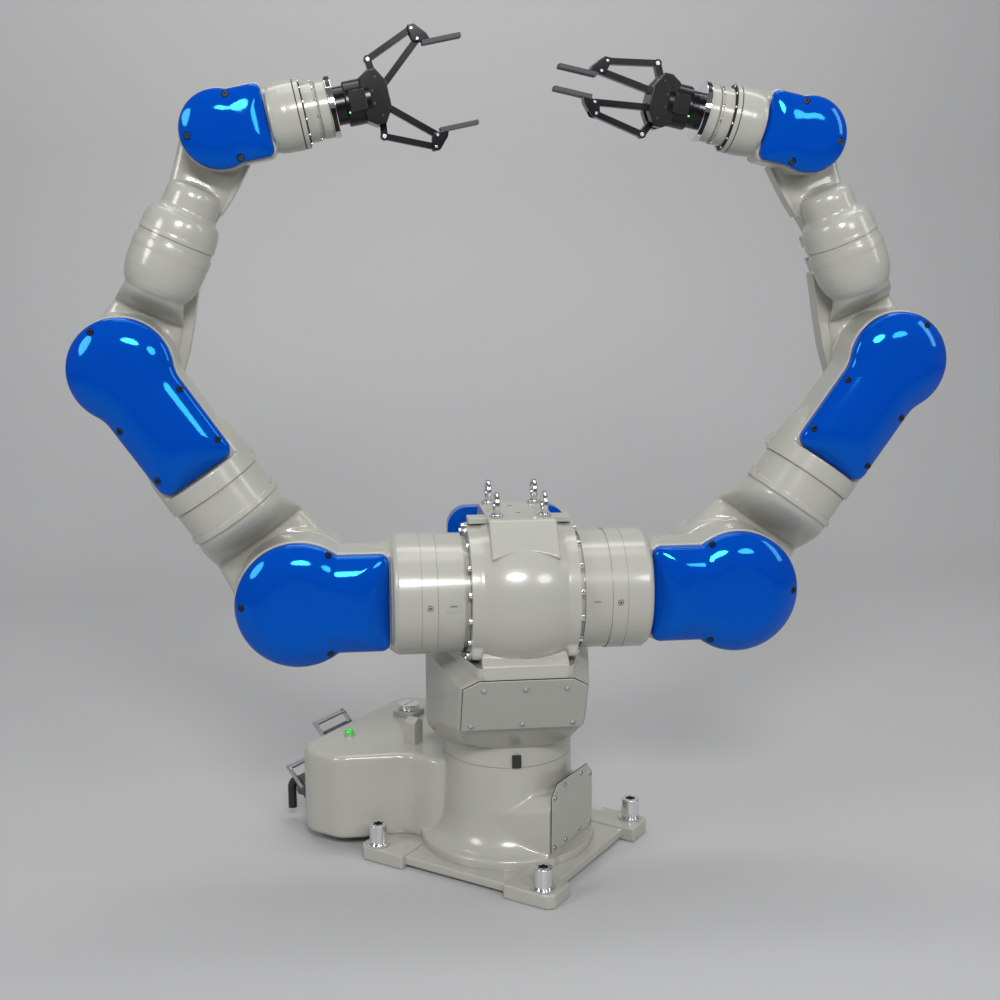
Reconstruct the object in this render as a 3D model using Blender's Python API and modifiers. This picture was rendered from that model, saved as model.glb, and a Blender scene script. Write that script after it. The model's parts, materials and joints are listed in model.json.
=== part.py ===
"""Dual-arm industrial robot with two parallel grippers, in its resting pose.

Metres, +Z up. The origin is where the waist axis meets the floor. The arms
reach out along X, the blue covers look along -Y, and the base is turned under
the torso. Every moving piece hangs on an empty that stands on its joint axis.
Both arms come from the same functions: the meshes are drawn for the +X side
and mirrored for the other one.
"""

import math

import bmesh
import bpy
from mathutils import Matrix, Vector

SEAM = 0.0003
JOINT_GAP = 0.0005
PIN_CLEARANCE = 0.0003
LARGE_STEPS = 24
ROUND_STEPS = 20
SMALL_STEPS = 12
LOFT_STEPS = 16

SHOULDER_HEIGHT = 0.550
SHOULDER_FORWARD = 0.1475
SHOULDER_SPAN = 0.385
UPPER_ARM = 0.490
FOREARM = 0.420
WRIST = 0.180

BASE_TURN = math.radians(-38.0)
LIFT_ANGLE = math.radians(55.5)
ELBOW_ANGLE = math.radians(58.6)
WRIST_ANGLE = math.radians(53.9)
OPEN_ANGLE = {"left": math.radians(40.5), "right": math.radians(7.4)}

WAIST_RADIUS = 0.123
WAIST_HEIGHT = 0.2045
FOOT_SPAN = 0.180
FOOT_SIDE = 0.178
FOOT_THICKNESS = 0.027
FOOT_REACH = 0.031
FOOT_CHAMFER = 0.0125
PLATE_THICKNESS = 0.023
PLATE_LIFT = 0.006
COLUMN_FLARE = 0.045
COLUMN_WAISTED = ((0.001, 0.060), (0.005, 0.105), (0.016, 0.137), (0.032, 0.154))
COLUMN_HEEL = (0.004, 0.160)
COLUMN_HEEL_LOW = 0.168
COVER_FLAT = 0.141
COVER_HALF_WIDTH = 0.0795
COVER_LOW = 0.046
COVER_HIGH = 0.174
COVER_CHAMFER = 0.021
COVER_THICKNESS = 0.003
BOX_REAR = -0.370
BOX_HALF_WIDTH = 0.190
BOX_SHOULDER = -0.2625
BOX_NECK = -0.163
BOX_NECK_HALF = 0.1045
BOX_LOW = 0.021
BOX_HIGH = 0.189
BOX_CORNER = 0.047
BOX_EDGE = 0.0145
BOLT_HEAD_RADIUS = 0.0173
BOLT_HEAD_HEIGHT = 0.0375
BOLT_WASHER_RADIUS = 0.0225
BOLT_WASHER_HEIGHT = 0.004
BOLT_SOCKET_RADIUS = 0.0094
BOLT_SOCKET_DEPTH = 0.012
CAP_RADIUS = 0.022
CAP_HEIGHT = 0.0125
CAP_BLOCK = 0.048
CAP_BLOCK_HEIGHT = 0.0125
CAP_PLACE = (-0.2835, 0.0785)
LAMP_RADIUS = 0.011
LAMP_COLLAR = 0.004
LAMP_PLACE = (-0.317, -0.0815)
POST_WIDTH = 0.0293
POST_DEPTH = 0.025
POST_HEIGHT = 0.0523
POST_PLACE = (-0.186, -0.047)

CONNECTOR_DEPTH = 0.0355
UPPER_CONNECTOR = (0.088, 0.048)
UPPER_CONNECTOR_PLACE = (-0.021, 0.1527)
LOWER_CONNECTOR = (0.0545, 0.046)
LOWER_CONNECTOR_PLACE = (-0.1235, 0.088)
LATCH_ARM_THICKNESS = 0.003
LATCH_ARM_WIDTH = 0.009
LATCH_REACH = 0.052
LATCH_LEAN = math.radians(46.0)
LATCH_PIVOT_SET = 0.010
OUTLET_RADIUS = 0.009
OUTLET_RUN = 0.027
OUTLET_BEND = 0.019
OUTLET_DROP = 0.0605

TORSO_RING_TOP = WAIST_HEIGHT + 0.017
TORSO_RING_FRONT = WAIST_HEIGHT + 0.0372
TORSO_BOWL = ((0.139, WAIST_HEIGHT + 0.0302, 0.33), (0.152, WAIST_HEIGHT + 0.0472, 0.67))
TORSO_HALF_WIDTH = 0.156
TORSO_WALL_LOW = WAIST_HEIGHT + 0.0642
TORSO_REAR = 0.135
TORSO_REAR_HALF = 0.125
TORSO_REAR_TOP = 0.400
TORSO_CORNER = 0.020
TORSO_LEDGE = 0.4397
TORSO_TOP_HALF = 0.082
TORSO_NECK_HALF = 0.076
TORSO_NECK_TOP = 0.4537
BARREL_REAR = 0.0025
PLATE_SEAT_LOW = (0.202, 0.3137)
PLATE_SEAT_HIGH = (0.2555, 0.4187)
FLANGE_FACE = 0.0935
FLANGE_RADIUS = 0.1235
FLANGE_RIM = 0.021
BARREL_BULGE = 0.137
TOP_PLATE = 0.6897
TOP_HALF_WIDTH = 0.059
TOP_FRONT = 0.2075
TOP_REAR = 0.034
TOP_CREASE = (0.2485, 0.6427)
TOP_TAIL = (0.0005, 0.6477)
EAR_FRONT = 0.1715
EAR_LENGTH = 0.034
EAR_THICKNESS = 0.016
EAR_REACH = 0.091
FRONT_PLATE_HALF = 0.109
FRONT_PLATE_CHAMFER = (0.027, 0.0175)
FRONT_PLATE_THICKNESS = 0.004
REAR_COVER_HALF = 0.112
REAR_COVER_LOW = 0.477
REAR_COVER_HIGH = 0.6727
REAR_COVER_DEPTH = 0.040
REAR_COVER_CORNER = 0.038
REAR_COVER_EDGE = 0.014
EYE_OUTER = 0.0225
EYE_WIRE = 0.0050
EYE_COLLAR_RADIUS = 0.0125
EYE_COLLAR_HEIGHT = 0.006
EYE_HEIGHT = 0.045
EYE_X = 0.042
EYE_FRONT = -0.1735
EYE_REAR = -0.0495
STOP_WIDTH = 0.017
STOP_HEIGHT = 0.024
STOP_DEPTH = 0.006
STOP_TURN = math.radians(0.7)

COVER_SPLIT = {"shoulder": 0.050, "elbow": 0.046, "wrist": 0.033}
COVER_DEPTH = {"shoulder": 0.040, "elbow": 0.036, "wrist": 0.026}
COVER_EDGE = {"shoulder": 0.013, "elbow": 0.012, "wrist": 0.009}
DISC_RADIUS = {"shoulder": 0.108, "elbow": 0.086, "wrist": 0.0635}
TAIL_HALF_WIDTH = {"shoulder": 0.0853, "elbow": 0.070, "wrist": 0.0585}
TAIL_LENGTH = {"shoulder": 0.154, "elbow": 0.2145, "wrist": 0.079}
TAIL_CORNER = {"shoulder": 0.015, "elbow": 0.020, "wrist": 0.012}
NECK_FILLET = {"shoulder": 0.006, "elbow": 0.060, "wrist": 0.010}
HOUSING_RIM = 0.0025
COVER_REVEAL = 0.0025
JOINT_PLANE = {"shoulder": 0.031, "elbow": 0.030, "wrist": 0.029}

SHOULDER_CAN = 0.107
SHOULDER_TAIL_GAP = 0.006
SHOULDER_CAN_END = SHOULDER_SPAN - TAIL_LENGTH["shoulder"] - SHOULDER_TAIL_GAP
SHOULDER_STEP = 0.0015
SHOULDER_SEAM = 0.151
SHOULDER_RECESS = 0.010
SHOULDER_RECESS_DEPTH = 0.007

UPPER_ROOT_RADIUS = 0.112
UPPER_ROOT_BACK = 0.124
UPPER_CAN = 0.0815
UPPER_CAN_START = 0.183
ELBOW_SEAM = 0.240
UPPER_LIP = 0.004
UPPER_LIP_LENGTH = 0.010

ELBOW_CAN = 0.0855
ELBOW_CAN_LENGTH = 0.048
ELBOW_DOME_END = 0.128

FORE_ROOT_RADIUS = 0.0885
FORE_ROOT_BACK = 0.106
FORE_DOME = 0.066
FORE_DOME_START = 0.128
FORE_SEAM = 0.228
FORE_TIP_DOME = 0.0645
FORE_TIP_NECK = 0.046
FORE_TIP_DOME_END = 0.278
FORE_TIP_NECK_END = 0.322
FORE_SPINE_RADIUS = 0.0625
FORE_SPINE_BACK = 0.076

WRIST_CAN = 0.0575
WRIST_CAN_START = 0.072
WRIST_SEAM = 0.130
WRIST_RING = 0.0575
WRIST_RING_END = 0.138
WRIST_NECK = 0.049
WRIST_FACE = 0.162
TOOL_FLANGE_RADIUS = 0.0475

COUPLING_RADIUS = 0.050
COUPLING_THICKNESS = 0.010
GRIPPER_NECK_RADIUS = 0.031
GRIPPER_NECK_LENGTH = 0.017
GRIPPER_BODY_RADIUS = 0.0365
GRIPPER_BODY_LENGTH = 0.042
PALM_HALF_DEPTH = 0.0325
PALM_HALF_WIDTH = 0.044
PALM_NOSE_HALF = 0.021
PALM_LENGTH = 0.072
LINK_HALF_DEPTH = 0.0085
SLOT_CLEARANCE = 0.0003
LINK_HALF_WIDTH = 0.0055
LINK_LENGTH = 0.100
CRANK_LENGTH = 0.03175
OUTER_BAR_LENGTH = 0.0865
OUTER_PIVOT = (0.0549, 0.0306)
INNER_PIVOT = (0.0614, 0.0127)
PIN_RADIUS = 0.0030
TIP_HALF_DEPTH = 0.0135
PAD_LENGTH = 0.065
TIP_BLOCK_LENGTH = 0.014
PAD_THICKNESS = 0.0075
PAD_INSET = 0.0109
PAD_START = 0.0062
SLOT_FLOOR = 0.0040


def clear_scene():
    """Remove every object and collection that the file opened with."""
    for item in list(bpy.data.objects):
        bpy.data.objects.remove(item, do_unlink=True)
    for group in list(bpy.data.collections):
        bpy.data.collections.remove(group)


def finish(name, color, metallic, roughness):
    """Return a Principled material."""
    material = bpy.data.materials.new(name)
    material.use_nodes = True
    shader = material.node_tree.nodes["Principled BSDF"]
    shader.inputs["Base Color"].default_value = (*color, 1.0)
    shader.inputs["Metallic"].default_value = metallic
    shader.inputs["Roughness"].default_value = roughness
    return material


def make_finishes():
    """Name the few finishes that the whole robot uses."""
    return {
        "grey": ((0.32, 0.33, 0.30), 0.0, 0.32),
        "blue": ((0.005, 0.050, 0.300), 0.0, 0.22),
        "chrome": ((0.78, 0.78, 0.80), 1.0, 0.12),
        "steel": ((0.55, 0.56, 0.57), 1.0, 0.35),
        "black": ((0.012, 0.012, 0.013), 0.0, 0.35),
        "pad": ((0.060, 0.060, 0.062), 0.0, 0.70),
        "hood": ((0.070, 0.070, 0.072), 0.0, 0.50),
        "rubber": ((0.015, 0.015, 0.016), 0.0, 0.65),
        "green": ((0.060, 0.650, 0.080), 0.0, 0.25),
    }


def shade(mesh):
    """Smooth the round surfaces and keep the real edges sharp."""
    mesh.shade_smooth()
    mesh.set_sharp_from_angle(angle=math.radians(35.0))


def place(name, mesh, parent, color, side=1):
    """Link a mesh as one named sub-part under its joint's empty."""
    if side < 0:
        mesh = mirrored(mesh)
    mesh.name = name
    item = bpy.data.objects.new(name, mesh)
    PARTS.objects.link(item)
    item.parent = parent
    mesh.materials.clear()
    mesh.materials.append(finish(name, *FINISHES[color]))
    shade(mesh)
    return item


def axis_empty(name, parent, location, turn=0.0, about="Y", side=1):
    """Stand an empty on a joint axis; the other side is its mirror image."""
    empty = bpy.data.objects.new(name, None)
    empty.empty_display_size = 0.05
    PARTS.objects.link(empty)
    empty.parent = parent
    empty.location = (side * location[0], location[1], location[2])
    signed = {"X": turn, "Y": side * turn, "Z": side * turn}[about]
    empty.rotation_euler = [signed if axis == about else 0.0 for axis in "XYZ"]
    return empty


def mirrored(mesh):
    """Return a mesh reflected in its local X."""
    work = bmesh.new()
    work.from_mesh(mesh)
    bmesh.ops.scale(work, vec=(-1.0, 1.0, 1.0), verts=work.verts)
    bmesh.ops.reverse_faces(work, faces=work.faces)
    copy = bpy.data.meshes.new(mesh.name)
    work.to_mesh(copy)
    work.free()
    return copy


def moved(mesh, offset=(0.0, 0.0, 0.0), turn=0.0, about="Z"):
    """Turn a mesh about an axis through the origin, then move it."""
    mesh.transform(Matrix.Translation(offset) @ Matrix.Rotation(turn, 4, about))
    return mesh


def scratch(mesh):
    """Wrap a mesh in an unseen working object."""
    item = bpy.data.objects.new("work", mesh)
    item.hide_render = True
    item.display_type = "WIRE"
    WORK.objects.link(item)
    return item


def evaluated(item):
    """Return the mesh that an object's modifiers make, and drop the object."""
    bpy.context.view_layer.update()
    graph = bpy.context.evaluated_depsgraph_get()
    mesh = bpy.data.meshes.new_from_object(item.evaluated_get(graph))
    bpy.data.objects.remove(item, do_unlink=True)
    return mesh


def boolean(mesh, tools, operation):
    """Join or cut a mesh with others, one after another."""
    for tool in tools:
        base = scratch(mesh)
        other = scratch(tool)
        step = base.modifiers.new(operation.title(), "BOOLEAN")
        step.operation = operation
        step.solver = "EXACT"
        step.object = other
        mesh = evaluated(base)
        bpy.data.objects.remove(other, do_unlink=True)
    return welded(mesh)


def fused(mesh, *tools):
    """Return the union of a mesh with the tools."""
    return boolean(mesh, tools, "UNION")


def carved(mesh, *tools):
    """Return a mesh with the tools cut out of it."""
    return boolean(mesh, tools, "DIFFERENCE")


def welded(mesh, distance=0.00001):
    """Merge the doubled points that a cap or a cut leaves."""
    work = bmesh.new()
    work.from_mesh(mesh)
    bmesh.ops.remove_doubles(work, verts=work.verts, dist=distance)
    bmesh.ops.dissolve_degenerate(work, edges=work.edges, dist=distance)
    work.to_mesh(mesh)
    work.free()
    return mesh


AXIS_TURNS = {
    "Z": Matrix.Identity(4),
    "X": Matrix.Rotation(math.radians(90.0), 4, "Y"),
    "Y": Matrix.Rotation(math.radians(-90.0), 4, "X"),
}


def turned(profile, axis="Z", steps=ROUND_STEPS):
    """Spin (radius, height) points, listed top to bottom, about an axis."""
    mesh = bpy.data.meshes.new("turned")
    points = [(radius, 0.0, height) for radius, height in profile]
    mesh.from_pydata(points, [(i, i + 1) for i in range(len(points) - 1)], [])
    item = scratch(mesh)
    spin = item.modifiers.new("Spin", "SCREW")
    spin.axis = "Z"
    spin.angle = math.radians(360.0)
    spin.steps = steps
    spin.render_steps = steps
    spin.use_merge_vertices = True
    spin.merge_threshold = 0.00005
    mesh = welded(evaluated(item), 0.00005)
    mesh.transform(AXIS_TURNS[axis])
    return mesh


def cylinder(radius, low, high, axis="Z", steps=ROUND_STEPS):
    """Make a plain cylinder between two heights on an axis."""
    work = bmesh.new()
    lift = Matrix.Translation((0.0, 0.0, (low + high) / 2.0))
    bmesh.ops.create_cone(
        work, cap_ends=True, segments=steps, radius1=radius, radius2=radius,
        depth=high - low, matrix=AXIS_TURNS[axis] @ lift,
    )
    mesh = bpy.data.meshes.new("cylinder")
    work.to_mesh(mesh)
    work.free()
    return mesh


def box(low, high):
    """Make a box between two corners."""
    work = bmesh.new()
    bmesh.ops.create_cube(work, size=1.0)
    size = [b - a for a, b in zip(low, high)]
    centre = [(a + b) / 2.0 for a, b in zip(low, high)]
    bmesh.ops.scale(work, vec=size, verts=work.verts)
    bmesh.ops.translate(work, vec=centre, verts=work.verts)
    mesh = bpy.data.meshes.new("box")
    work.to_mesh(mesh)
    work.free()
    return mesh


SLAB_TURNS = {
    "Z": Matrix.Identity(4),
    "Y": Matrix.Rotation(math.radians(90.0), 4, "X"),
    "X": Matrix(((0, 0, 1, 0), (1, 0, 0, 0), (0, 1, 0, 0), (0, 0, 0, 1))),
}


def slab(outline, low, high, axis="Z"):
    """Extrude a flat outline between two heights.

    Along Z the outline is (x, y), along Y it is (x, z), along X it is (y, z).
    """
    curve = bpy.data.curves.new("slab", "CURVE")
    curve.dimensions = "2D"
    curve.fill_mode = "BOTH"
    curve.extrude = (high - low) / 2.0
    spline = curve.splines.new("POLY")
    spline.points.add(len(outline) - 1)
    for point, (across, along) in zip(spline.points, outline):
        point.co = (across, along, 0.0, 1.0)
    spline.use_cyclic_u = True
    item = bpy.data.objects.new("slab", curve)
    WORK.objects.link(item)
    mesh = welded(evaluated(item))
    middle = (low + high) / 2.0
    mesh.transform(SLAB_TURNS[axis])
    shift = {"Z": (0, 0, middle), "Y": (0, middle, 0), "X": (middle, 0, 0)}[axis]
    mesh.transform(Matrix.Translation(shift))
    return mesh


def tube(points, radius, closed=False):
    """Run a round wire through points."""
    curve = bpy.data.curves.new("tube", "CURVE")
    curve.dimensions = "3D"
    curve.bevel_depth = radius
    curve.bevel_resolution = 1
    curve.use_fill_caps = not closed
    spline = curve.splines.new("POLY")
    spline.points.add(len(points) - 1)
    for point, place_at in zip(spline.points, points):
        point.co = (*place_at, 1.0)
    spline.use_cyclic_u = closed
    item = bpy.data.objects.new("tube", curve)
    WORK.objects.link(item)
    return welded(evaluated(item))


def loft(sections):
    """Skin a row of outlines that have the same number of points."""
    work = bmesh.new()
    rings = [[work.verts.new(point) for point in section] for section in sections]
    count = len(rings[0])
    for near, far in zip(rings, rings[1:]):
        for i in range(count):
            j = (i + 1) % count
            work.faces.new((near[i], near[j], far[j], far[i]))
    work.faces.new(rings[0])
    work.faces.new(list(reversed(rings[-1])))
    bmesh.ops.recalc_face_normals(work, faces=work.faces)
    mesh = bpy.data.meshes.new("loft")
    work.to_mesh(mesh)
    work.free()
    return mesh


def arc(centre, radius, start, end, steps):
    """Return points on an arc; the angles are in degrees."""
    points = []
    for i in range(steps + 1):
        angle = math.radians(start + (end - start) * i / steps)
        points.append((centre[0] + radius * math.cos(angle), centre[1] + radius * math.sin(angle)))
    return points


def rounded_outline(corners, radius, steps=3):
    """Round the corners of a closed polygon, drawn anticlockwise."""
    points = []
    count = len(corners)
    for i, corner in enumerate(corners):
        here = Vector(corner)
        before = (Vector(corners[i - 1]) - here).normalized()
        after = (Vector(corners[(i + 1) % count]) - here).normalized()
        half = before.angle(after) / 2.0
        run = radius / math.tan(half)
        centre = here + (before + after).normalized() * (radius / math.sin(half))
        first = here + before * run - centre
        sweep = first.angle_signed(here + after * run - centre)
        for step in range(steps + 1):
            spun = first.copy()
            spun.rotate(Matrix.Rotation(-sweep * step / steps, 2))
            points.append(tuple(centre + spun))
    return points


def squircle(x, half_z, y_low, y_high, power=2.0, count=LOFT_STEPS):
    """Return one cross-section at x: an ellipse at power 2, boxier above it."""
    points = []
    middle = (y_low + y_high) / 2.0
    half_y = (y_high - y_low) / 2.0
    for i in range(count):
        angle = 2.0 * math.pi * i / count
        c = math.cos(angle)
        s = math.sin(angle)
        reach_y = math.copysign(abs(c) ** (2.0 / power), c)
        reach_z = math.copysign(abs(s) ** (2.0 / power), s)
        points.append((x, middle + half_y * reach_y, half_z * reach_z))
    return points


def keyhole(kind, inset=0.0, disc_steps=14):
    """Return the (x, z) outline of a cover: a disc with a square tail to -X."""
    radius = DISC_RADIUS[kind] - inset
    half = TAIL_HALF_WIDTH[kind] - inset
    tail = TAIL_LENGTH[kind] - inset
    corner = max(TAIL_CORNER[kind] - inset, 0.002)
    fillet = NECK_FILLET[kind] + inset
    back = math.sqrt((radius + fillet) ** 2 - (half + fillet) ** 2)
    lean = math.degrees(math.atan2(half + fillet, -back))
    points = arc((0.0, 0.0), radius, -lean, lean, disc_steps)
    upper = arc((-back, half + fillet), fillet, lean + 180.0, 270.0, 2)
    points += upper[1:]
    points += arc((-tail + corner, half - corner), corner, 90.0, 180.0, 2)
    points += arc((-tail + corner, corner - half), corner, 180.0, 270.0, 2)
    lower = arc((-back, -half - fillet), fillet, 90.0, 180.0 - lean, 2)
    points += lower[:-1]
    return points


def cover(kind, tail_sign=-1):
    """Make a dished cover with a rounded rim, standing on the split plane."""
    base = -(COVER_SPLIT[kind] + SEAM)
    front = -(COVER_SPLIT[kind] + COVER_DEPTH[kind])
    edge = COVER_EDGE[kind]
    rows = [(0.0, base), (0.0, front + edge)]
    for degrees in (40.0, 90.0):
        angle = math.radians(degrees)
        rows.append((edge * (1.0 - math.cos(angle)), front + edge * (1.0 - math.sin(angle))))
    sections = []
    for inset, y in rows:
        sections.append([(-tail_sign * x, y, z) for x, z in keyhole(kind, inset)])
    return loft(sections)


def housing_slab(kind, tail_sign=-1):
    """Make the keyhole casting that carries a cover, up to its joint plane."""
    split = -COVER_SPLIT[kind]
    plane = JOINT_PLANE[kind]
    rows = ((0.0, split), (-HOUSING_RIM, split + HOUSING_RIM), (-HOUSING_RIM, plane))
    sections = []
    for inset, y in rows:
        sections.append([(-tail_sign * x, y, z) for x, z in keyhole(kind, inset)])
    return loft(sections)


def cover_seat(kind, tail_sign=-1):
    """Return the block in front of the split plane that a cover fills."""
    end = tail_sign * (TAIL_LENGTH[kind] + COVER_REVEAL)
    low, high = sorted((end, -0.2 * tail_sign))
    return box((low, -0.3, -0.3), (high, -COVER_SPLIT[kind], 0.3))


def shoulder_housing():
    """Casting that turns about S and holds the L joint; origin on the L axis."""
    end = -(SHOULDER_SPAN - SHOULDER_CAN_END)
    start = -(SHOULDER_SPAN - FLANGE_FACE - JOINT_GAP)
    seam = -(SHOULDER_SPAN - SHOULDER_SEAM)
    slim = SHOULDER_CAN - SHOULDER_STEP
    can = turned([
        (0.0, end),
        (SHOULDER_CAN - 0.007, end),
        (SHOULDER_CAN, end - 0.008),
        (SHOULDER_CAN, seam),
        (slim, seam),
        (slim, start + SHOULDER_RECESS),
        (slim - SHOULDER_RECESS_DEPTH, start + SHOULDER_RECESS),
        (slim - SHOULDER_RECESS_DEPTH, start),
        (0.0, start),
    ], "X")
    plane = JOINT_PLANE["shoulder"]
    split = COVER_SPLIT["shoulder"]
    half = TAIL_HALF_WIDTH["shoulder"]
    clear = -(UPPER_ROOT_RADIUS + 2.0 * JOINT_GAP)
    bridge = loft([
        squircle(end - 0.006, SHOULDER_CAN - 0.004, -SHOULDER_CAN + 0.004, SHOULDER_CAN - 0.004),
        squircle(end + 0.014, half + 0.008, -split - 0.012, SHOULDER_CAN * 0.72, 2.4),
        squircle(clear - 0.012, half + 0.001, -split + 0.001, SHOULDER_CAN * 0.30, 3.0),
        squircle(clear - 0.003, half, -split + 0.002, plane + 0.006, 4.0),
        squircle(clear - 0.001, half, -split + 0.002, plane - 0.001, 4.0),
        squircle(clear + 0.020, half - 0.002, -split + 0.003, plane - 0.002, 5.0),
    ])
    bridge = carved(bridge, cover_seat("shoulder"))
    return fused(can, housing_slab("shoulder"), bridge)


def swept_link(root, back, can, can_start, plane):
    """Casting behind a joint disc that sweeps forward onto the next axis."""
    front = plane + JOINT_GAP
    edge = 0.016
    rows = [(0.0, back), (root - edge, back)]
    for degrees in (45.0, 90.0):
        angle = math.radians(degrees)
        rows.append((root - edge + edge * math.sin(angle), back - edge + edge * math.cos(angle)))
    rows += [(root, front), (0.0, front)]
    disc = turned(rows, "Y", LARGE_STEPS)
    sections = []
    reach = root + 0.006
    stations = [reach * i / 3 for i in range(3)]
    stations += [reach + (can_start - reach) * i / 4 for i in range(5)]
    for x in stations:
        share = x / can_start
        ease = share * share * (3.0 - 2.0 * share)
        half = root - 0.002 + (can - root + 0.002) * share
        high = back - 0.002 + (can - back + 0.002) * ease
        if x <= reach:
            low = front
        else:
            fall = (x - reach) / (can_start - reach)
            low = front + (-can - front) * math.sin(fall * math.pi / 2.0)
        power = 3.4 + (2.0 - 3.4) * share
        sections.append(squircle(x, half, low, high, power))
    return fused(disc, loft(sections))


def upper_arm():
    """Link from the L joint to the E joint; origin on the L axis."""
    end = ELBOW_SEAM - JOINT_GAP
    neck = swept_link(
        UPPER_ROOT_RADIUS, UPPER_ROOT_BACK, UPPER_CAN, UPPER_CAN_START,
        JOINT_PLANE["shoulder"],
    )
    lip = UPPER_CAN + UPPER_LIP
    can = turned([
        (0.0, end),
        (UPPER_CAN, end),
        (UPPER_CAN, UPPER_CAN_START + UPPER_LIP_LENGTH),
        (lip, UPPER_CAN_START + UPPER_LIP_LENGTH - 0.001),
        (lip, UPPER_CAN_START),
        (UPPER_CAN, UPPER_CAN_START - 0.004),
        (0.0, UPPER_CAN_START - 0.008),
    ], "X")
    return fused(neck, can)


def elbow_housing():
    """Casting that turns about E and holds the U joint; origin on the U axis."""
    start = -(UPPER_ARM - ELBOW_SEAM)
    shoulder = start + ELBOW_CAN_LENGTH
    dome_end = -ELBOW_DOME_END
    profile = []
    for degrees in range(0, 91, 30):
        angle = math.radians(degrees)
        radius = 0.045 + (ELBOW_CAN - 0.045) * math.sin(angle)
        profile.append((radius, dome_end + (shoulder - dome_end) * (1.0 - math.cos(angle))))
    can = turned(
        [(0.0, dome_end)] + profile
        + [(ELBOW_CAN, start + 0.002), (ELBOW_CAN - 0.002, start), (0.0, start)],
        "X",
    )
    return fused(carved(can, cover_seat("elbow")), housing_slab("elbow"))


def forearm_root():
    """Link from the U joint to the R joint; origin on the U axis."""
    end = FORE_SEAM - JOINT_GAP
    neck = swept_link(
        FORE_ROOT_RADIUS, FORE_ROOT_BACK, 0.050, FORE_DOME_START + 0.010,
        JOINT_PLANE["elbow"],
    )
    dome = turned([
        (0.0, end),
        (FORE_DOME - 0.003, end),
        (FORE_DOME - 0.003, end - 0.008),
        (FORE_DOME, end - 0.012),
        (FORE_DOME - 0.001, end - 0.040),
        (FORE_DOME - 0.007, end - 0.062),
        (FORE_DOME - 0.022, FORE_DOME_START + 0.004),
        (0.0, FORE_DOME_START - 0.006),
    ], "X")
    return fused(neck, dome)


def forearm_tip():
    """Link from the R joint to the B joint; origin on the U axis line."""
    start = FORE_SEAM
    reach = FOREARM
    dome = turned([
        (0.0, FORE_TIP_NECK_END),
        (FORE_TIP_NECK - 0.014, FORE_TIP_NECK_END - 0.003),
        (FORE_TIP_NECK, FORE_TIP_NECK_END - 0.018),
        (FORE_TIP_NECK, FORE_TIP_DOME_END + 0.002),
        (FORE_TIP_DOME - 0.011, FORE_TIP_DOME_END - 0.007),
        (FORE_TIP_DOME - 0.002, FORE_TIP_DOME_END - 0.026),
        (FORE_TIP_DOME, start),
        (0.0, start),
    ], "X")
    front = JOINT_PLANE["wrist"] + JOINT_GAP
    back = FORE_SPINE_BACK
    disc = cylinder(FORE_SPINE_RADIUS, front, back, "Y")
    moved(disc, (reach, 0.0, 0.0))
    spine = loft([
        squircle(start + 0.012, FORE_TIP_NECK - 0.004, front - 0.018, back + 0.006, 2.2),
        squircle(start + 0.050, FORE_TIP_NECK, front - 0.010, back + 0.002, 2.8),
        squircle(reach - 0.085, FORE_SPINE_RADIUS - 0.009, front, back, 3.6),
        squircle(reach - 0.040, FORE_SPINE_RADIUS - 0.002, front + 0.001, back - 0.001, 4.0),
        squircle(reach, FORE_SPINE_RADIUS - 0.002, front + 0.001, back - 0.001, 4.0),
    ])
    return fused(dome, spine, disc)


def wrist_housing():
    """Casting that turns about B and holds the tool joint; origin on B."""
    can = turned([
        (0.0, WRIST_FACE),
        (WRIST_NECK, WRIST_FACE),
        (WRIST_NECK, WRIST_RING_END),
        (WRIST_RING, WRIST_RING_END),
        (WRIST_RING, WRIST_SEAM),
        (WRIST_CAN, WRIST_SEAM),
        (WRIST_CAN, WRIST_SEAM - 0.010),
        (WRIST_CAN - 0.004, WRIST_CAN_START + 0.016),
        (WRIST_CAN - 0.012, WRIST_CAN_START),
        (0.0, WRIST_CAN_START),
    ], "X")
    return fused(carved(can, cover_seat("wrist", 1)), housing_slab("wrist", 1))


def tool_flange():
    """Output flange of the tool joint; origin on the B axis line."""
    rim = TOOL_FLANGE_RADIUS
    return turned([
        (0.0, WRIST),
        (rim - 0.0015, WRIST),
        (rim, WRIST - 0.0015),
        (rim, WRIST_FACE + JOINT_GAP + 0.004),
        (rim - 0.003, WRIST_FACE + JOINT_GAP),
        (0.0, WRIST_FACE + JOINT_GAP),
    ], "X")


def coupling_plate():
    """Bright adaptor plate between the flange and the gripper."""
    low = WRIST + SEAM
    high = low + COUPLING_THICKNESS
    rim = COUPLING_RADIUS
    return turned([
        (0.0, high),
        (rim - 0.001, high),
        (rim, high - 0.001),
        (rim, low),
        (0.0, low),
    ], "X")


def gripper_base():
    """Return where the gripper's own axis starts, on the tool axis."""
    return WRIST + 2.0 * SEAM + COUPLING_THICKNESS + GRIPPER_NECK_LENGTH


def bar_outline(start, end, half):
    """Return a flat bar with round ends between two points."""
    first = Vector(start)
    run = Vector(end) - first
    heading = math.degrees(math.atan2(run.y, run.x))
    points = arc(end, half, heading - 90.0, heading + 90.0, 4)
    points += arc(start, half, heading + 90.0, heading + 270.0, 4)
    return points


def bar(start, end, half, depth):
    """Extrude a round-ended bar, centred on the finger plane."""
    return slab(bar_outline(start, end, half), -depth, depth, "Y")


def pin(place_at, radius, half_depth):
    """Make a short cylinder across the finger plane."""
    rod = cylinder(radius, -half_depth, half_depth, "Y", 8)
    return moved(rod, (place_at[0], 0.0, place_at[1]))


def along(start, length, angle):
    """Return the point at a length and angle from another."""
    return (start[0] + length * math.cos(angle), start[1] + length * math.sin(angle))


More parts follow.
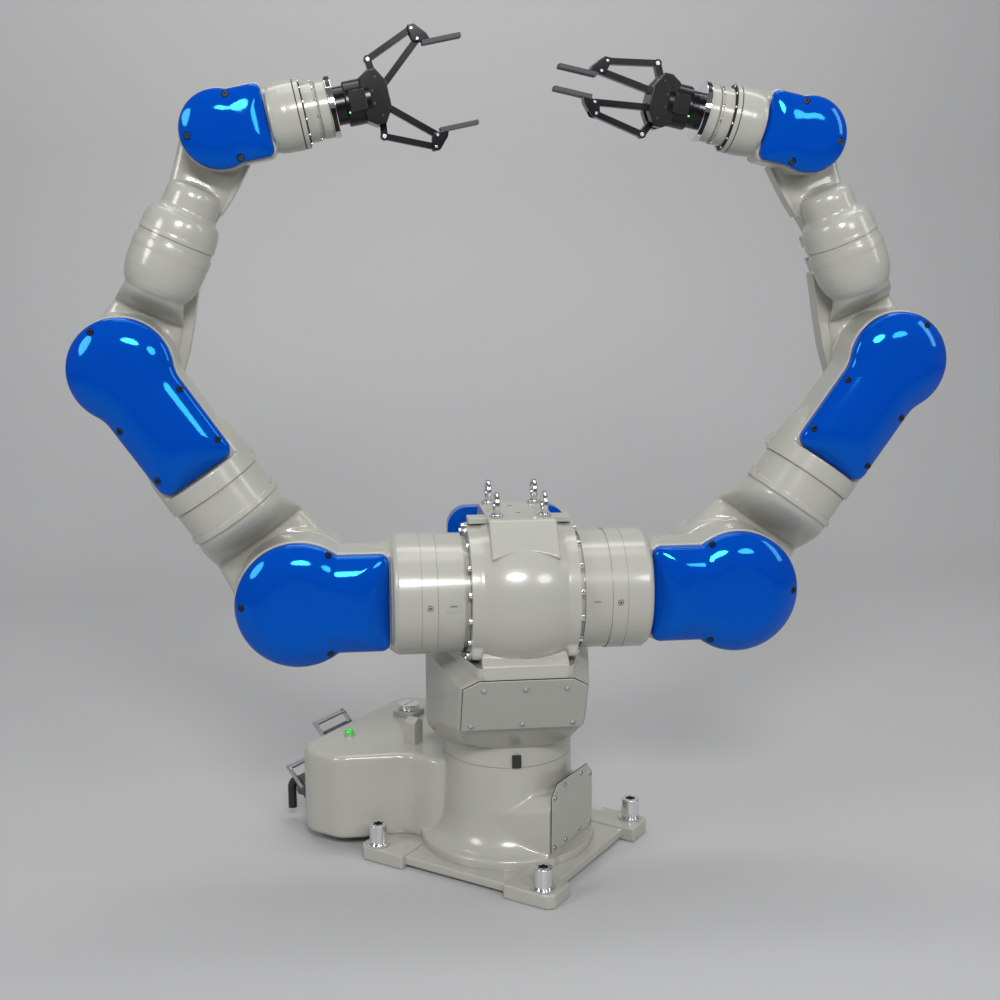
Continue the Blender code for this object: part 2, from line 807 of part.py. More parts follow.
def crank_angle():
    """Return how far the crank leans out from the line between its pivots."""
    squares = CRANK_LENGTH ** 2 + LINK_LENGTH ** 2 - OUTER_BAR_LENGTH ** 2
    return math.acos(squares / (2.0 * CRANK_LENGTH * LINK_LENGTH))


def gripper_body():
    """Round body with a slotted palm and the pins that carry the fingers."""
    base = gripper_base()
    neck_low = base - GRIPPER_NECK_LENGTH
    can = turned([
        (0.0, base + GRIPPER_BODY_LENGTH),
        (GRIPPER_BODY_RADIUS, base + GRIPPER_BODY_LENGTH),
        (GRIPPER_BODY_RADIUS, base + 0.002),
        (GRIPPER_BODY_RADIUS - 0.002, base),
        (GRIPPER_NECK_RADIUS, base),
        (GRIPPER_NECK_RADIUS, neck_low),
        (0.0, neck_low),
    ], "X")
    wide = PALM_HALF_WIDTH
    nose = PALM_NOSE_HALF
    corners = [
        (base + 0.028, -0.034), (base + 0.044, -wide), (base + 0.058, -wide),
        (base + PALM_LENGTH, -nose), (base + PALM_LENGTH, nose),
        (base + 0.058, wide), (base + 0.044, wide), (base + 0.028, 0.034),
    ]
    palm = slab(corners, -PALM_HALF_DEPTH, PALM_HALF_DEPTH, "Y")
    slot_half = LINK_HALF_DEPTH + SLOT_CLEARANCE
    web = INNER_PIVOT[1] - LINK_HALF_WIDTH - SLOT_CLEARANCE
    floor = base + OUTER_PIVOT[0] - LINK_HALF_WIDTH - SLOT_FLOOR
    slots = []
    for sign in (-1, 1):
        low, high = sorted((sign * web, sign * (wide + 0.010)))
        slots.append(box((floor, -slot_half, low), (base + PALM_LENGTH + 0.010, slot_half, high)))
    body = carved(fused(can, palm), *slots)
    pins = []
    for sign in (-1, 1):
        for axial, lateral in (OUTER_PIVOT, INNER_PIVOT):
            spot = (base + axial, sign * lateral)
            pins.append(pin(spot, PIN_RADIUS, slot_half + 0.002))
    return fused(body, *pins)


def bored(mesh, spots):
    """Drill the pivot holes of a link."""
    radius = PIN_RADIUS + PIN_CLEARANCE
    return carved(mesh, *[pin(spot, radius, LINK_HALF_DEPTH + 0.004) for spot in spots])


def inner_bar(sign, swing):
    """Straight bar of a finger; origin on its palm pivot."""
    far = along((0.0, 0.0), LINK_LENGTH, sign * swing)
    return bored(bar((0.0, 0.0), far, LINK_HALF_WIDTH, LINK_HALF_DEPTH), ((0.0, 0.0), far))


def outer_link(sign, swing):
    """Bent link of a finger, a crank and a bar; origin on its palm pivot."""
    far = along((0.0, 0.0), LINK_LENGTH, sign * swing)
    knee = along((0.0, 0.0), CRANK_LENGTH, sign * (swing + crank_angle()))
    crank = bar((0.0, 0.0), knee, LINK_HALF_WIDTH, LINK_HALF_DEPTH)
    rod = bar(knee, far, LINK_HALF_WIDTH * 0.94, LINK_HALF_DEPTH - 0.0002)
    boss = pin(knee, LINK_HALF_WIDTH * 1.2, LINK_HALF_DEPTH + 0.0001)
    return bored(fused(crank, rod, boss), ((0.0, 0.0), far))


def fingertip(sign):
    """Forked tip with its grip pad; origin on the inner bar's far pivot."""
    rise = OUTER_PIVOT[1] - INNER_PIVOT[1]
    back = OUTER_PIVOT[0] - INNER_PIVOT[0]
    outer_spot = (back, sign * rise)
    cheek = LINK_HALF_WIDTH + 0.0005
    inner_face = -sign * PAD_INSET
    outer_face = inner_face + sign * PAD_THICKNESS
    heel = PAD_START + TIP_BLOCK_LENGTH
    fork = [
        (back - cheek, sign * (rise - 0.003)), (back - cheek, sign * (rise + cheek)),
        (back + cheek, sign * (rise + cheek)), (heel - 0.004, sign * 0.006),
        (heel, outer_face - sign * 0.001), (-0.005, outer_face - sign * 0.001),
        (-0.008, sign * -0.002),
    ]
    if sign < 0:
        fork.reverse()
    half = TIP_HALF_DEPTH
    slot_half = LINK_HALF_DEPTH + SLOT_CLEARANCE
    slot = box((-0.040, -slot_half, -0.040), (PAD_START, slot_half, 0.040))
    body = carved(slab(fork, -half, half, "Y"), slot)
    low, high = sorted((inner_face, outer_face))
    pad_half = half + 0.0002
    pad = box((PAD_START, -pad_half, low), (PAD_START + PAD_LENGTH, pad_half, high))
    body = fused(body, pad)
    pins = [pin(spot, PIN_RADIUS, slot_half + 0.002) for spot in ((0.0, 0.0), outer_spot)]
    return fused(body, *pins)


def base_outline(clear=0.0):
    """Return the (x, y) outline of the base plate between its feet."""
    front = FOOT_SPAN + 0.006 - clear
    rear = -FOOT_SPAN - 0.010
    side = FOOT_SIDE + 0.012 - clear
    return rounded_outline([(front, -side), (front, side), (rear, side), (rear, -side)], 0.020)


def foot(x, y):
    """Make one bolted pad of the base."""
    out = FOOT_REACH
    sx = math.copysign(1.0, x)
    sy = math.copysign(1.0, y)
    cut = FOOT_CHAMFER
    corners = [
        (x + sx * out, y - sy * 0.048), (x + sx * out, y + sy * (out - 0.008 - cut)),
        (x + sx * (out - cut), y + sy * (out - 0.008)), (x - sx * 0.070, y + sy * (out - 0.008)),
        (x - sx * 0.070, y - sy * 0.048),
    ]
    if sx * sy < 0:
        corners.reverse()
    return slab(corners, 0.0, FOOT_THICKNESS)


def feet():
    """Return the four anchor points of the base."""
    spots = []
    for x in (FOOT_SPAN, -FOOT_SPAN):
        for y in (-FOOT_SIDE, FOOT_SIDE):
            spots.append((x, y))
    return spots


def rear_box_outline():
    """Return the (x, y) outline of the connector box behind the column."""
    corners = [
        (-0.060, -BOX_NECK_HALF), (-0.060, BOX_NECK_HALF), (BOX_NECK, BOX_NECK_HALF),
        (BOX_SHOULDER, BOX_HALF_WIDTH), (BOX_REAR, BOX_HALF_WIDTH),
        (BOX_REAR, -BOX_HALF_WIDTH), (BOX_SHOULDER, -BOX_HALF_WIDTH), (BOX_NECK, -BOX_NECK_HALF),
    ]
    return corners


def rear_box():
    """Make the connector box with its soft upright corners and top edge."""
    corners = rear_box_outline()
    middle = Vector((-0.190, 0.0))
    sections = []
    for inset, z in ((0.004, BOX_LOW), (0.0, BOX_LOW + 0.006), (0.0, BOX_HIGH - BOX_EDGE),
                     (BOX_EDGE * 0.29, BOX_HIGH - BOX_EDGE * 0.29), (BOX_EDGE, BOX_HIGH)):
        outline = rounded_outline(corners, BOX_CORNER)
        ring = []
        for x, y in outline:
            point = Vector((x, y))
            ring.append((*(point - (point - middle).normalized() * inset), z))
        sections.append(ring)
    return loft(sections)


def base_casting():
    """One casting: feet, plate, flared column, connector box and its post."""
    flare = WAIST_RADIUS + COLUMN_FLARE
    column = turned([
        (0.0, WAIST_HEIGHT),
        (WAIST_RADIUS, WAIST_HEIGHT),
        *[(WAIST_RADIUS + out, WAIST_HEIGHT - down) for out, down in COLUMN_WAISTED],
        (flare - COLUMN_HEEL[0], WAIST_HEIGHT - COLUMN_HEEL[1]),
        (flare, WAIST_HEIGHT - COLUMN_HEEL_LOW),
        (flare, PLATE_THICKNESS - 0.004),
        (0.0, PLATE_THICKNESS - 0.004),
    ], "Z", LARGE_STEPS)
    plate = slab(base_outline(), PLATE_LIFT, PLATE_THICKNESS)
    core = slab(base_outline(0.036), 0.0, PLATE_THICKNESS - 0.002)
    body = fused(plate, core, column, *[foot(x, y) for x, y in feet()])
    body = fused(body, rear_box())
    half = COVER_HALF_WIDTH + 0.003
    pad = box((0.060, -half, PLATE_THICKNESS), (COVER_FLAT + 0.01, half, COVER_HIGH - 0.024))
    flat = box((COVER_FLAT, -0.2, COVER_LOW - 0.008), (0.3, 0.2, COVER_HIGH + 0.060))
    body = carved(fused(body, pad), flat)
    x, y = POST_PLACE
    post_half = POST_WIDTH / 2.0
    peak = BOX_HIGH + POST_HEIGHT
    post_outline = [
        (y - post_half, BOX_HIGH - 0.004), (y + post_half, BOX_HIGH - 0.004),
        (y + post_half, peak - 0.009), (y, peak), (y - post_half, peak - 0.009),
    ]
    post = slab(post_outline, x - POST_DEPTH / 2.0, x + POST_DEPTH / 2.0, "X")
    x, y = CAP_PLACE
    half = CAP_BLOCK / 2.0
    block = box(
        (x - half, y - half, BOX_HIGH - 0.004), (x + half, y + half, BOX_HIGH + CAP_BLOCK_HEIGHT),
    )
    return fused(body, post, block)


def side_cover():
    """Bolted plate on the flat of the column, with two cut corners."""
    half = COVER_HALF_WIDTH
    cut = COVER_CHAMFER
    outline = [
        (-half, COVER_LOW), (half, COVER_LOW), (half, COVER_HIGH - cut),
        (half - cut, COVER_HIGH), (cut - half, COVER_HIGH), (-half, COVER_HIGH - cut),
    ]
    low = COVER_FLAT + SEAM
    return slab(outline, low, low + COVER_THICKNESS, "X")


def anchor_bolt():
    """Socket-head bolt with its washer; origin under the washer."""
    top = BOLT_WASHER_HEIGHT + BOLT_HEAD_HEIGHT
    head = BOLT_HEAD_RADIUS
    body = turned([
        (0.0, top),
        (head, top),
        (head, BOLT_WASHER_HEIGHT),
        (BOLT_WASHER_RADIUS, BOLT_WASHER_HEIGHT),
        (BOLT_WASHER_RADIUS, 0.0),
        (0.0, 0.0),
    ], "Z", SMALL_STEPS)
    socket = cylinder(BOLT_SOCKET_RADIUS, top - BOLT_SOCKET_DEPTH, top + 0.010, "Z", 6)
    return carved(body, socket)


def status_lamp():
    """Domed lamp on a short collar; origin under the collar."""
    dome = []
    for degrees in range(0, 91, 30):
        angle = math.radians(degrees)
        reach = LAMP_RADIUS - 0.001
        dome.append((reach * math.sin(angle), LAMP_COLLAR + reach * math.cos(angle)))
    rim = [(LAMP_RADIUS, LAMP_COLLAR), (LAMP_RADIUS, 0.0), (0.0, 0.0)]
    return turned(dome + rim, "Z", SMALL_STEPS)


def maintenance_cap():
    """Round screwed cap; origin under it."""
    return turned([
        (0.0, CAP_HEIGHT),
        (CAP_RADIUS, CAP_HEIGHT),
        (CAP_RADIUS, CAP_HEIGHT * 0.45),
        (CAP_RADIUS - 0.002, CAP_HEIGHT * 0.40),
        (CAP_RADIUS - 0.002, 0.0),
        (0.0, 0.0),
    ], "Z", SMALL_STEPS)


def connector(width, height):
    """Rectangular plug hood with latch pegs; its seat is the plane x = 0."""
    half = width / 2.0
    tall = height / 2.0
    sections = []
    for inset, x in ((0.0, 0.0), (0.0, -0.012), (0.003, -0.013), (0.003, -CONNECTOR_DEPTH + 0.006),
                     (0.008, -CONNECTOR_DEPTH)):
        corners = [
            (-half + inset, -tall + inset), (half - inset, -tall + inset),
            (half - inset, tall - inset), (-half + inset, tall - inset),
        ]
        sections.append([(x, y, z) for y, z in rounded_outline(corners, 0.006, 2)])
    hood = loft(sections)
    peg = cylinder(PIN_RADIUS, -half - 0.006, half + 0.006, "Y", 8)
    return fused(hood, moved(peg, (-LATCH_PIVOT_SET, 0.0, 0.0)))


def latch(width):
    """U-shaped locking lever; origin on the pegs' axis."""
    half = width / 2.0 + 0.0015
    thick = LATCH_ARM_THICKNESS
    tip = along((0.0, 0.0), LATCH_REACH, math.pi - LATCH_LEAN)
    arms = []
    for sign in (-1, 1):
        low, high = sorted((sign * half, sign * (half + thick)))
        arm = slab(bar_outline((0.0, 0.0), tip, LATCH_ARM_WIDTH / 2.0), low, high, "Y")
        hole = cylinder(PIN_RADIUS + PIN_CLEARANCE, low - 0.002, high + 0.002, "Y", 8)
        arms.append(carved(arm, hole))
    grip = box(
        (tip[0] - 0.004, -half - thick * 0.5, tip[1] - 0.002),
        (tip[0] + 0.010, half + thick * 0.5, tip[1] + 0.0015),
    )
    return fused(arms[0], grip, arms[1])


def cable_outlet():
    """Moulded elbow that leaves the lower hood and points down."""
    bend = OUTLET_BEND
    points = [(0.0, 0.0, 0.0), (-OUTLET_RUN + bend, 0.0, 0.0)]
    for degrees in range(15, 91, 15):
        angle = math.radians(degrees)
        x = -OUTLET_RUN + bend - bend * math.sin(angle)
        points.append((x, 0.0, -bend + bend * math.cos(angle)))
    points.append((-OUTLET_RUN, 0.0, -OUTLET_DROP))
    return tube(points, OUTLET_RADIUS)


def side_points(outline, corner_points, extra):
    """Add evenly spaced points on the straight sides of a rounded outline."""
    points = []
    for i, point in enumerate(outline):
        points.append(point)
        if (i + 1) % corner_points:
            continue
        here = Vector(point)
        there = Vector(outline[(i + 1) % len(outline)])
        points += [tuple(here.lerp(there, (k + 1) / (extra + 1))) for k in range(extra)]
    return points


def torso_plan(front_half, front, side_half):
    """Return the (x, y) plan of the lower housing, widest at the waist axis."""
    share = side_half / TORSO_HALF_WIDTH
    rear_half = TORSO_REAR_HALF * share
    rear = TORSO_REAR * share
    corners = [
        (-front_half, -front), (front_half, -front), (side_half, 0.0),
        (rear_half, rear), (-rear_half, rear), (-side_half, 0.0),
    ]
    return side_points(rounded_outline(corners, TORSO_CORNER, 2), 3, 2)


def tilted(outline, z_front, z_side, z_rear):
    """Lift a plan so that it slopes from its front to its sides and rear."""
    front = -min(y for x, y in outline)
    rear = max(y for x, y in outline)
    section = []
    for x, y in outline:
        if y < 0.0:
            z = z_side + (z_front - z_side) * -y / front
        else:
            z = z_side + (z_rear - z_side) * y / rear
        section.append((x, y, z))
    return section


def seat_reach(z):
    """Return how far forward the slanted seat of the front plate is at z."""
    low_y, low_z = PLATE_SEAT_LOW
    high_y, high_z = PLATE_SEAT_HIGH
    return low_y + (high_y - low_y) * (z - low_z) / (high_z - low_z)


def torso_lower():
    """Lower housing: a round bowl on the waist that grows into a leaning box."""
    half = TORSO_HALF_WIDTH
    low_y, low_z = PLATE_SEAT_LOW
    high_y, high_z = PLATE_SEAT_HIGH
    plate_half = FRONT_PLATE_HALF + 0.003
    wide = torso_plan(plate_half, low_y, half)
    inner = WAIST_RADIUS - 0.002
    circle = [tuple(Vector(point).normalized() * inner) for point in wide]
    sections = [tilted(circle, TORSO_RING_FRONT, TORSO_RING_TOP, TORSO_RING_TOP)]
    for side_half, z_side, share in TORSO_BOWL:
        front = WAIST_RADIUS + (low_y - WAIST_RADIUS) * share
        front_half = plate_half * (0.75 + 0.25 * share)
        z_front = TORSO_RING_FRONT + (low_z - TORSO_RING_FRONT) * share
        sections.append(tilted(torso_plan(front_half, front, side_half), z_front, z_side, z_side))
    wall = TORSO_WALL_LOW
    sections.append(tilted(wide, low_z, wall, wall))
    cut_x, cut_z = FRONT_PLATE_CHAMFER
    bend = high_z - cut_z
    rear_top = TORSO_REAR_TOP
    sections.append(tilted(torso_plan(plate_half, seat_reach(bend), half), bend, bend, rear_top - 0.020))
    upper = torso_plan(TORSO_TOP_HALF, high_y, half - 0.004)
    sections.append(tilted(upper, high_z, TORSO_LEDGE - 0.006, rear_top - 0.004))
    sections.append(tilted(upper, TORSO_LEDGE, TORSO_LEDGE, rear_top))
    seam = WAIST_HEIGHT + JOINT_GAP
    ring = cylinder(WAIST_RADIUS, seam, TORSO_RING_FRONT + 0.004, "Z", LARGE_STEPS)
    return fused(loft(sections), ring)


def plate_frame():
    """Return the matrix that lays the front plate's drawing on its seat."""
    low_y, low_z = PLATE_SEAT_LOW
    high_y, high_z = PLATE_SEAT_HIGH
    lean = math.atan2(high_y - low_y, high_z - low_z)
    return Matrix.Translation((0.0, -low_y, low_z)) @ Matrix.Rotation(lean, 4, "X")


def torso_housing():
    """Torso casting: waist ring, lower housing, barrel, flanges and top."""
    height = SHOULDER_HEIGHT
    axis_y = -SHOULDER_FORWARD
    rear = BARREL_REAR
    front = PLATE_SEAT_HIGH[0]
    side = TORSO_NECK_HALF
    levels = (
        (PLATE_SEAT_HIGH[1] - 0.012, front), (TORSO_LEDGE + 0.003, front),
        (TORSO_NECK_TOP, front - 0.016), (height, SHOULDER_FORWARD + 0.054),
    )
    neck = loft([
        [(-side, -reach, z), (side, -reach, z), (side, rear - 0.003, z), (-side, rear - 0.003, z)]
        for z, reach in levels
    ])
    inner = FLANGE_FACE - FLANGE_RIM
    rise = BARREL_BULGE - FLANGE_RADIUS
    sphere = (inner ** 2 + rise ** 2) / (2.0 * rise)
    profile = [(0.0, FLANGE_FACE), (FLANGE_RADIUS, FLANGE_FACE)]
    half_steps = 4
    for i in range(2 * half_steps + 1):
        x = inner * (1.0 - i / half_steps)
        profile.append((BARREL_BULGE - sphere + math.sqrt(sphere ** 2 - x ** 2), x))
    profile += [(FLANGE_RADIUS, -FLANGE_FACE), (0.0, -FLANGE_FACE)]
    barrel = moved(turned(profile, "X", LARGE_STEPS), (0.0, axis_y, height))
    crease_y, crease_z = TOP_CREASE
    tail_y, tail_z = TOP_TAIL
    wedge = [
        (-crease_y, crease_z), (-crease_y + 0.030, crease_z - 0.050), (tail_y, height - 0.060),
        (tail_y, tail_z), (-TOP_REAR, TOP_PLATE), (-TOP_FRONT, TOP_PLATE),
    ]
    top = slab(wedge, -TOP_HALF_WIDTH, TOP_HALF_WIDTH, "X")
    back = [
        (axis_y, height - 0.060), (rear + 0.003, height - 0.060), (rear + 0.003, tail_z - 0.010),
        (-TOP_REAR - 0.010, TOP_PLATE - 0.022), (axis_y, TOP_PLATE - 0.020),
    ]
    block = slab(back, -side, side, "X")
    heel = slab([
        (rear - 0.040, TORSO_LEDGE - 0.020), (TORSO_REAR - 0.020, TORSO_REAR_TOP - 0.010),
        (TORSO_REAR - 0.022, TORSO_REAR_TOP + 0.010), (0.055, REAR_COVER_LOW - 0.012),
        (rear - 0.040, REAR_COVER_LOW - 0.010),
    ], -side + 0.002, side - 0.002, "X")
    ears = []
    for sign in (-1, 1):
        low, high = sorted((sign * (TOP_HALF_WIDTH - 0.010), sign * EAR_REACH))
        top_z = TOP_PLATE - 0.003
        start = (low, -EAR_FRONT, top_z - EAR_THICKNESS)
        ears.append(box(start, (high, EAR_LENGTH - EAR_FRONT, top_z)))
    lobes = []
    for sign in (-1, 1):
        low, high = sorted((sign * (inner + 0.002), sign * (FLANGE_FACE - 0.001)))
        for y_sign in (-1, 1):
            turn = math.radians(45.0)
            reach = FLANGE_RADIUS - 0.001
            lobe = cylinder(0.013, low, high, "X", SMALL_STEPS)
            spot = (0.0, axis_y + y_sign * reach * math.cos(turn), height - reach * math.sin(turn))
            lobes.append(moved(lobe, spot))
    flat_back = box((-0.2, rear, REAR_COVER_LOW - 0.004), (0.2, rear + 0.2, TOP_PLATE))
    upper = carved(fused(barrel, neck, block, heel, top, *ears, *lobes), flat_back)
    run = math.hypot(
        PLATE_SEAT_HIGH[0] - PLATE_SEAT_LOW[0], PLATE_SEAT_HIGH[1] - PLATE_SEAT_LOW[1],
    )
    cut = box((-0.3, -0.05, -0.004), (0.3, 0.0, run + 0.0005))
    cut.transform(plate_frame())
    return carved(fused(torso_lower(), upper), cut)


def front_cover():
    """Bolted plate on the slanted front of the lower housing."""
    half = FRONT_PLATE_HALF
    cut_x, cut_z = FRONT_PLATE_CHAMFER
    high = math.hypot(
        PLATE_SEAT_HIGH[0] - PLATE_SEAT_LOW[0], PLATE_SEAT_HIGH[1] - PLATE_SEAT_LOW[1],
    )
    outline = [
        (-half, 0.0), (half, 0.0), (half, high - cut_z), (half - cut_x, high),
        (cut_x - half, high), (-half, high - cut_z),
    ]
    plate = slab(outline, -SEAM - FRONT_PLATE_THICKNESS, -SEAM, "Y")
    plate.transform(plate_frame())
    return plate


def rear_cover():
    """Blue dished cover on the back of the torso."""
    half = REAR_COVER_HALF
    seat = BARREL_REAR + SEAM
    back = seat + REAR_COVER_DEPTH
    edge = REAR_COVER_EDGE
    sections = []
    for inset, y in ((0.0, seat), (0.0, back - edge), (edge * 0.29, back - edge * 0.29), (edge, back)):
        corners = [
            (-half + inset, REAR_COVER_LOW + inset), (half - inset, REAR_COVER_LOW + inset),
            (half - inset, REAR_COVER_HIGH - inset), (-half + inset, REAR_COVER_HIGH - inset),
        ]
        outline = rounded_outline(corners, REAR_COVER_CORNER - inset)
        sections.append([(x, y, z) for x, z in outline])
    return loft(sections)


def travel_stop():
    """Dark block on the waist ring that marks the end of travel."""
    width = STOP_WIDTH / 2.0
    seat = -(WAIST_RADIUS + SEAM)
    low = WAIST_HEIGHT + 0.002
    outline = rounded_outline([
        (-width, low), (width, low), (width, low + STOP_HEIGHT), (-width, low + STOP_HEIGHT),
    ], 0.002, 1)
    return slab(outline, seat - STOP_DEPTH, seat, "Y")


def eyebolt():
    """Lifting eye on its collar; origin under the collar."""
    wire = EYE_WIRE
    ring_radius = EYE_OUTER - wire
    middle = EYE_HEIGHT - EYE_OUTER
    points = []
    for i in range(SMALL_STEPS):
        angle = 2.0 * math.pi * i / SMALL_STEPS
        points.append((0.0, ring_radius * math.cos(angle), middle + ring_radius * math.sin(angle)))
    ring = tube(points, wire, closed=True)
    collar = turned([
        (0.0, EYE_COLLAR_HEIGHT + 0.001),
        (EYE_COLLAR_RADIUS, EYE_COLLAR_HEIGHT * 0.6),
        (EYE_COLLAR_RADIUS, 0.0),
        (0.0, 0.0),
    ], "Z", 12)
    return fused(collar, ring)


def build_base(root):
    """Base casting with everything that is fixed to it."""
    turn = axis_empty("base_frame", root, (0.0, 0.0, 0.0), BASE_TURN, "Z")
    place("base_casting", base_casting(), turn, "grey")
    place("base_side_cover", side_cover(), turn, "grey")
    for number, (x, y) in enumerate(feet(), start=1):
        bolt = place(f"anchor_bolt_{number}", anchor_bolt(), turn, "chrome")
        bolt.location = (x, y, FOOT_THICKNESS + SEAM)
    lamp = place("status_lamp", status_lamp(), turn, "green")
    lamp.location = (*LAMP_PLACE, BOX_HIGH + SEAM)
    cap = place("maintenance_cap", maintenance_cap(), turn, "chrome")
    cap.location = (*CAP_PLACE, BOX_HIGH + CAP_BLOCK_HEIGHT + SEAM)
    seat = BOX_REAR - SEAM
    for label, size, (y, z) in (
        ("upper", UPPER_CONNECTOR, UPPER_CONNECTOR_PLACE),
        ("lower", LOWER_CONNECTOR, LOWER_CONNECTOR_PLACE),
    ):
        hood = place(f"connector_{label}", connector(*size), turn, "hood")
        hood.location = (seat, y, z)
        pivot = (seat - LATCH_PIVOT_SET, y, z)
        lever_frame = axis_empty(f"latch_{label}_axis", turn, pivot)
        place(f"latch_{label}", latch(size[0]), lever_frame, "steel")
    y, z = LOWER_CONNECTOR_PLACE
    outlet = place("cable_outlet", cable_outlet(), turn, "rubber")
    outlet.location = (seat - CONNECTOR_DEPTH - SEAM, y, z)


def build_torso(root):
    """Torso with its covers and lifting eyes."""
    waist = axis_empty("waist_axis", root, (0.0, 0.0, WAIST_HEIGHT), 0.0, "Z")
    drop = axis_empty("torso_floor", waist, (0.0, 0.0, -WAIST_HEIGHT))
    place("torso_housing", torso_housing(), drop, "grey")
    place("torso_front_cover", front_cover(), drop, "grey")
    place("torso_rear_cover", rear_cover(), drop, "blue")
    stop = place("travel_stop", travel_stop(), drop, "rubber")
    stop.rotation_euler = (0.0, 0.0, STOP_TURN)
    spots = [(x, y) for y in (EYE_FRONT, EYE_REAR) for x in (-EYE_X, EYE_X)]
    for number, (x, y) in enumerate(spots, start=1):
        eye = place(f"eyebolt_{number}", eyebolt(), drop, "chrome")
        eye.location = (x, y, TOP_PLATE + SEAM)
    return drop


def build_finger(hand, tool, number, sign, swing, side):
    """One finger: outer link, inner bar and forked tip with its pad."""
    base = gripper_base()
    outer_spot = (base + OUTER_PIVOT[0], 0.0, sign * OUTER_PIVOT[1])
    inner_spot = (base + INNER_PIVOT[0], 0.0, sign * INNER_PIVOT[1])
    outer_axis = axis_empty(f"{hand}_outer_axis_{number}", tool, outer_spot, side=side)
    place(f"{hand}_outer_link_{number}", outer_link(sign, swing), outer_axis, "black", side)
    inner_axis = axis_empty(f"{hand}_inner_axis_{number}", tool, inner_spot, side=side)
    place(f"{hand}_inner_bar_{number}", inner_bar(sign, swing), inner_axis, "black", side)
    far = along((0.0, 0.0), LINK_LENGTH, sign * swing)
    tip_axis = axis_empty(f"{hand}_tip_axis_{number}", inner_axis, (far[0], 0.0, far[1]), side=side)
    place(f"{hand}_fingertip_{number}", fingertip(sign), tip_axis, "pad", side)


def build_arm(hand, side, torso):
    """One seven-axis arm with its gripper, from shoulder to fingertips."""
    start = (SHOULDER_SPAN, -SHOULDER_FORWARD, SHOULDER_HEIGHT)
    shoulder = axis_empty(f"{hand}_s_axis", torso, start, side=side)
    place(f"{hand}_shoulder_housing", shoulder_housing(), shoulder, "grey", side)
    place(f"{hand}_shoulder_cover", cover("shoulder"), shoulder, "blue", side)
    lift = axis_empty(f"{hand}_l_axis", shoulder, (0.0, 0.0, 0.0), -LIFT_ANGLE, side=side)
    place(f"{hand}_upper_arm", upper_arm(), lift, "grey", side)
    elbow = axis_empty(f"{hand}_e_axis", lift, (UPPER_ARM, 0.0, 0.0), side=side)
    place(f"{hand}_elbow_housing", elbow_housing(), elbow, "grey", side)
    place(f"{hand}_elbow_cover", cover("elbow"), elbow, "blue", side)
    bend = axis_empty(f"{hand}_u_axis", elbow, (0.0, 0.0, 0.0), -ELBOW_ANGLE, side=side)
    place(f"{hand}_forearm_root", forearm_root(), bend, "grey", side)
    roll = axis_empty(f"{hand}_r_axis", bend, (0.0, 0.0, 0.0), side=side)
    place(f"{hand}_forearm_tip", forearm_tip(), roll, "grey", side)
    wrist = axis_empty(f"{hand}_b_axis", roll, (FOREARM, 0.0, 0.0), -WRIST_ANGLE, side=side)
    place(f"{hand}_wrist_housing", wrist_housing(), wrist, "grey", side)
    place(f"{hand}_wrist_cover", cover("wrist", 1), wrist, "blue", side)
    tool = axis_empty(f"{hand}_t_axis", wrist, (0.0, 0.0, 0.0), side=side)
    place(f"{hand}_tool_flange", tool_flange(), tool, "grey", side)
    place(f"{hand}_coupling_plate", coupling_plate(), tool, "chrome", side)
    place(f"{hand}_gripper_body", gripper_body(), tool, "black", side)
    for number, sign in ((1, 1), (2, -1)):
        build_finger(hand, tool, number, sign, OPEN_ANGLE[hand], side)


clear_scene()
FINISHES = make_finishes()
PARTS = bpy.data.collections.new("dual_arm_robot")
WORK = bpy.data.collections.new("cutters")
bpy.context.scene.collection.children.link(PARTS)
bpy.context.scene.collection.children.link(WORK)
ROOT = axis_empty("robot", None, (0.0, 0.0, 0.0))
build_base(ROOT)
TORSO = build_torso(ROOT)
build_arm("left", -1, TORSO)
build_arm("right", 1, TORSO)
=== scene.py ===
"""Dress the dual-arm handling robot in its castings, covers, fasteners and paint.

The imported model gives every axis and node. Each sub-assembly below is a class that
models its own pieces in a local drawing, lays them on the joint they belong to and
hands them to the wardrobe, which paints them and says which body they ride on.
The arms are drawn once for the robot's +X side and mirrored for the other one.
"""

import json
import logging
import math
from dataclasses import dataclass
from enum import Enum
from typing import Sequence

import bmesh
import bpy
from mathutils import Matrix, Vector


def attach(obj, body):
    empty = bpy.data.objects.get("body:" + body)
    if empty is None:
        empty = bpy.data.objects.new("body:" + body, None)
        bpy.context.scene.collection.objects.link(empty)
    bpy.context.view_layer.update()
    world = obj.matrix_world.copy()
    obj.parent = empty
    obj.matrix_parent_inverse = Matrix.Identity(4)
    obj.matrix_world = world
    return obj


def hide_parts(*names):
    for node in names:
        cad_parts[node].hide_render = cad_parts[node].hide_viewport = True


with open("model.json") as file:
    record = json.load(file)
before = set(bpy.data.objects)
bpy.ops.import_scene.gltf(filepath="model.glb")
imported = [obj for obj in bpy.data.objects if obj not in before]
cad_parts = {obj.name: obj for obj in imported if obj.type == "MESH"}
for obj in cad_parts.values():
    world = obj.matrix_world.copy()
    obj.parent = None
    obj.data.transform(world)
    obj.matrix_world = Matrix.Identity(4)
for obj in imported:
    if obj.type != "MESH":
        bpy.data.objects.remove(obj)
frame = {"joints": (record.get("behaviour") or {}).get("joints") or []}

LOG = logging.getLogger("dual_arm_robot")
QUARTER = (0.0, 22.5, 45.0, 67.5, 90.0)
SEAM = 0.0003
JOINT_GAP = 0.0005
Piece = bpy.types.Object
Point2 = tuple[float, float]
Ring = list[tuple[float, float, float]]


class Axis(Enum):
    """Axis that a lathed or flat piece is laid along."""

    X = "X"
    Y = "Y"
    Z = "Z"


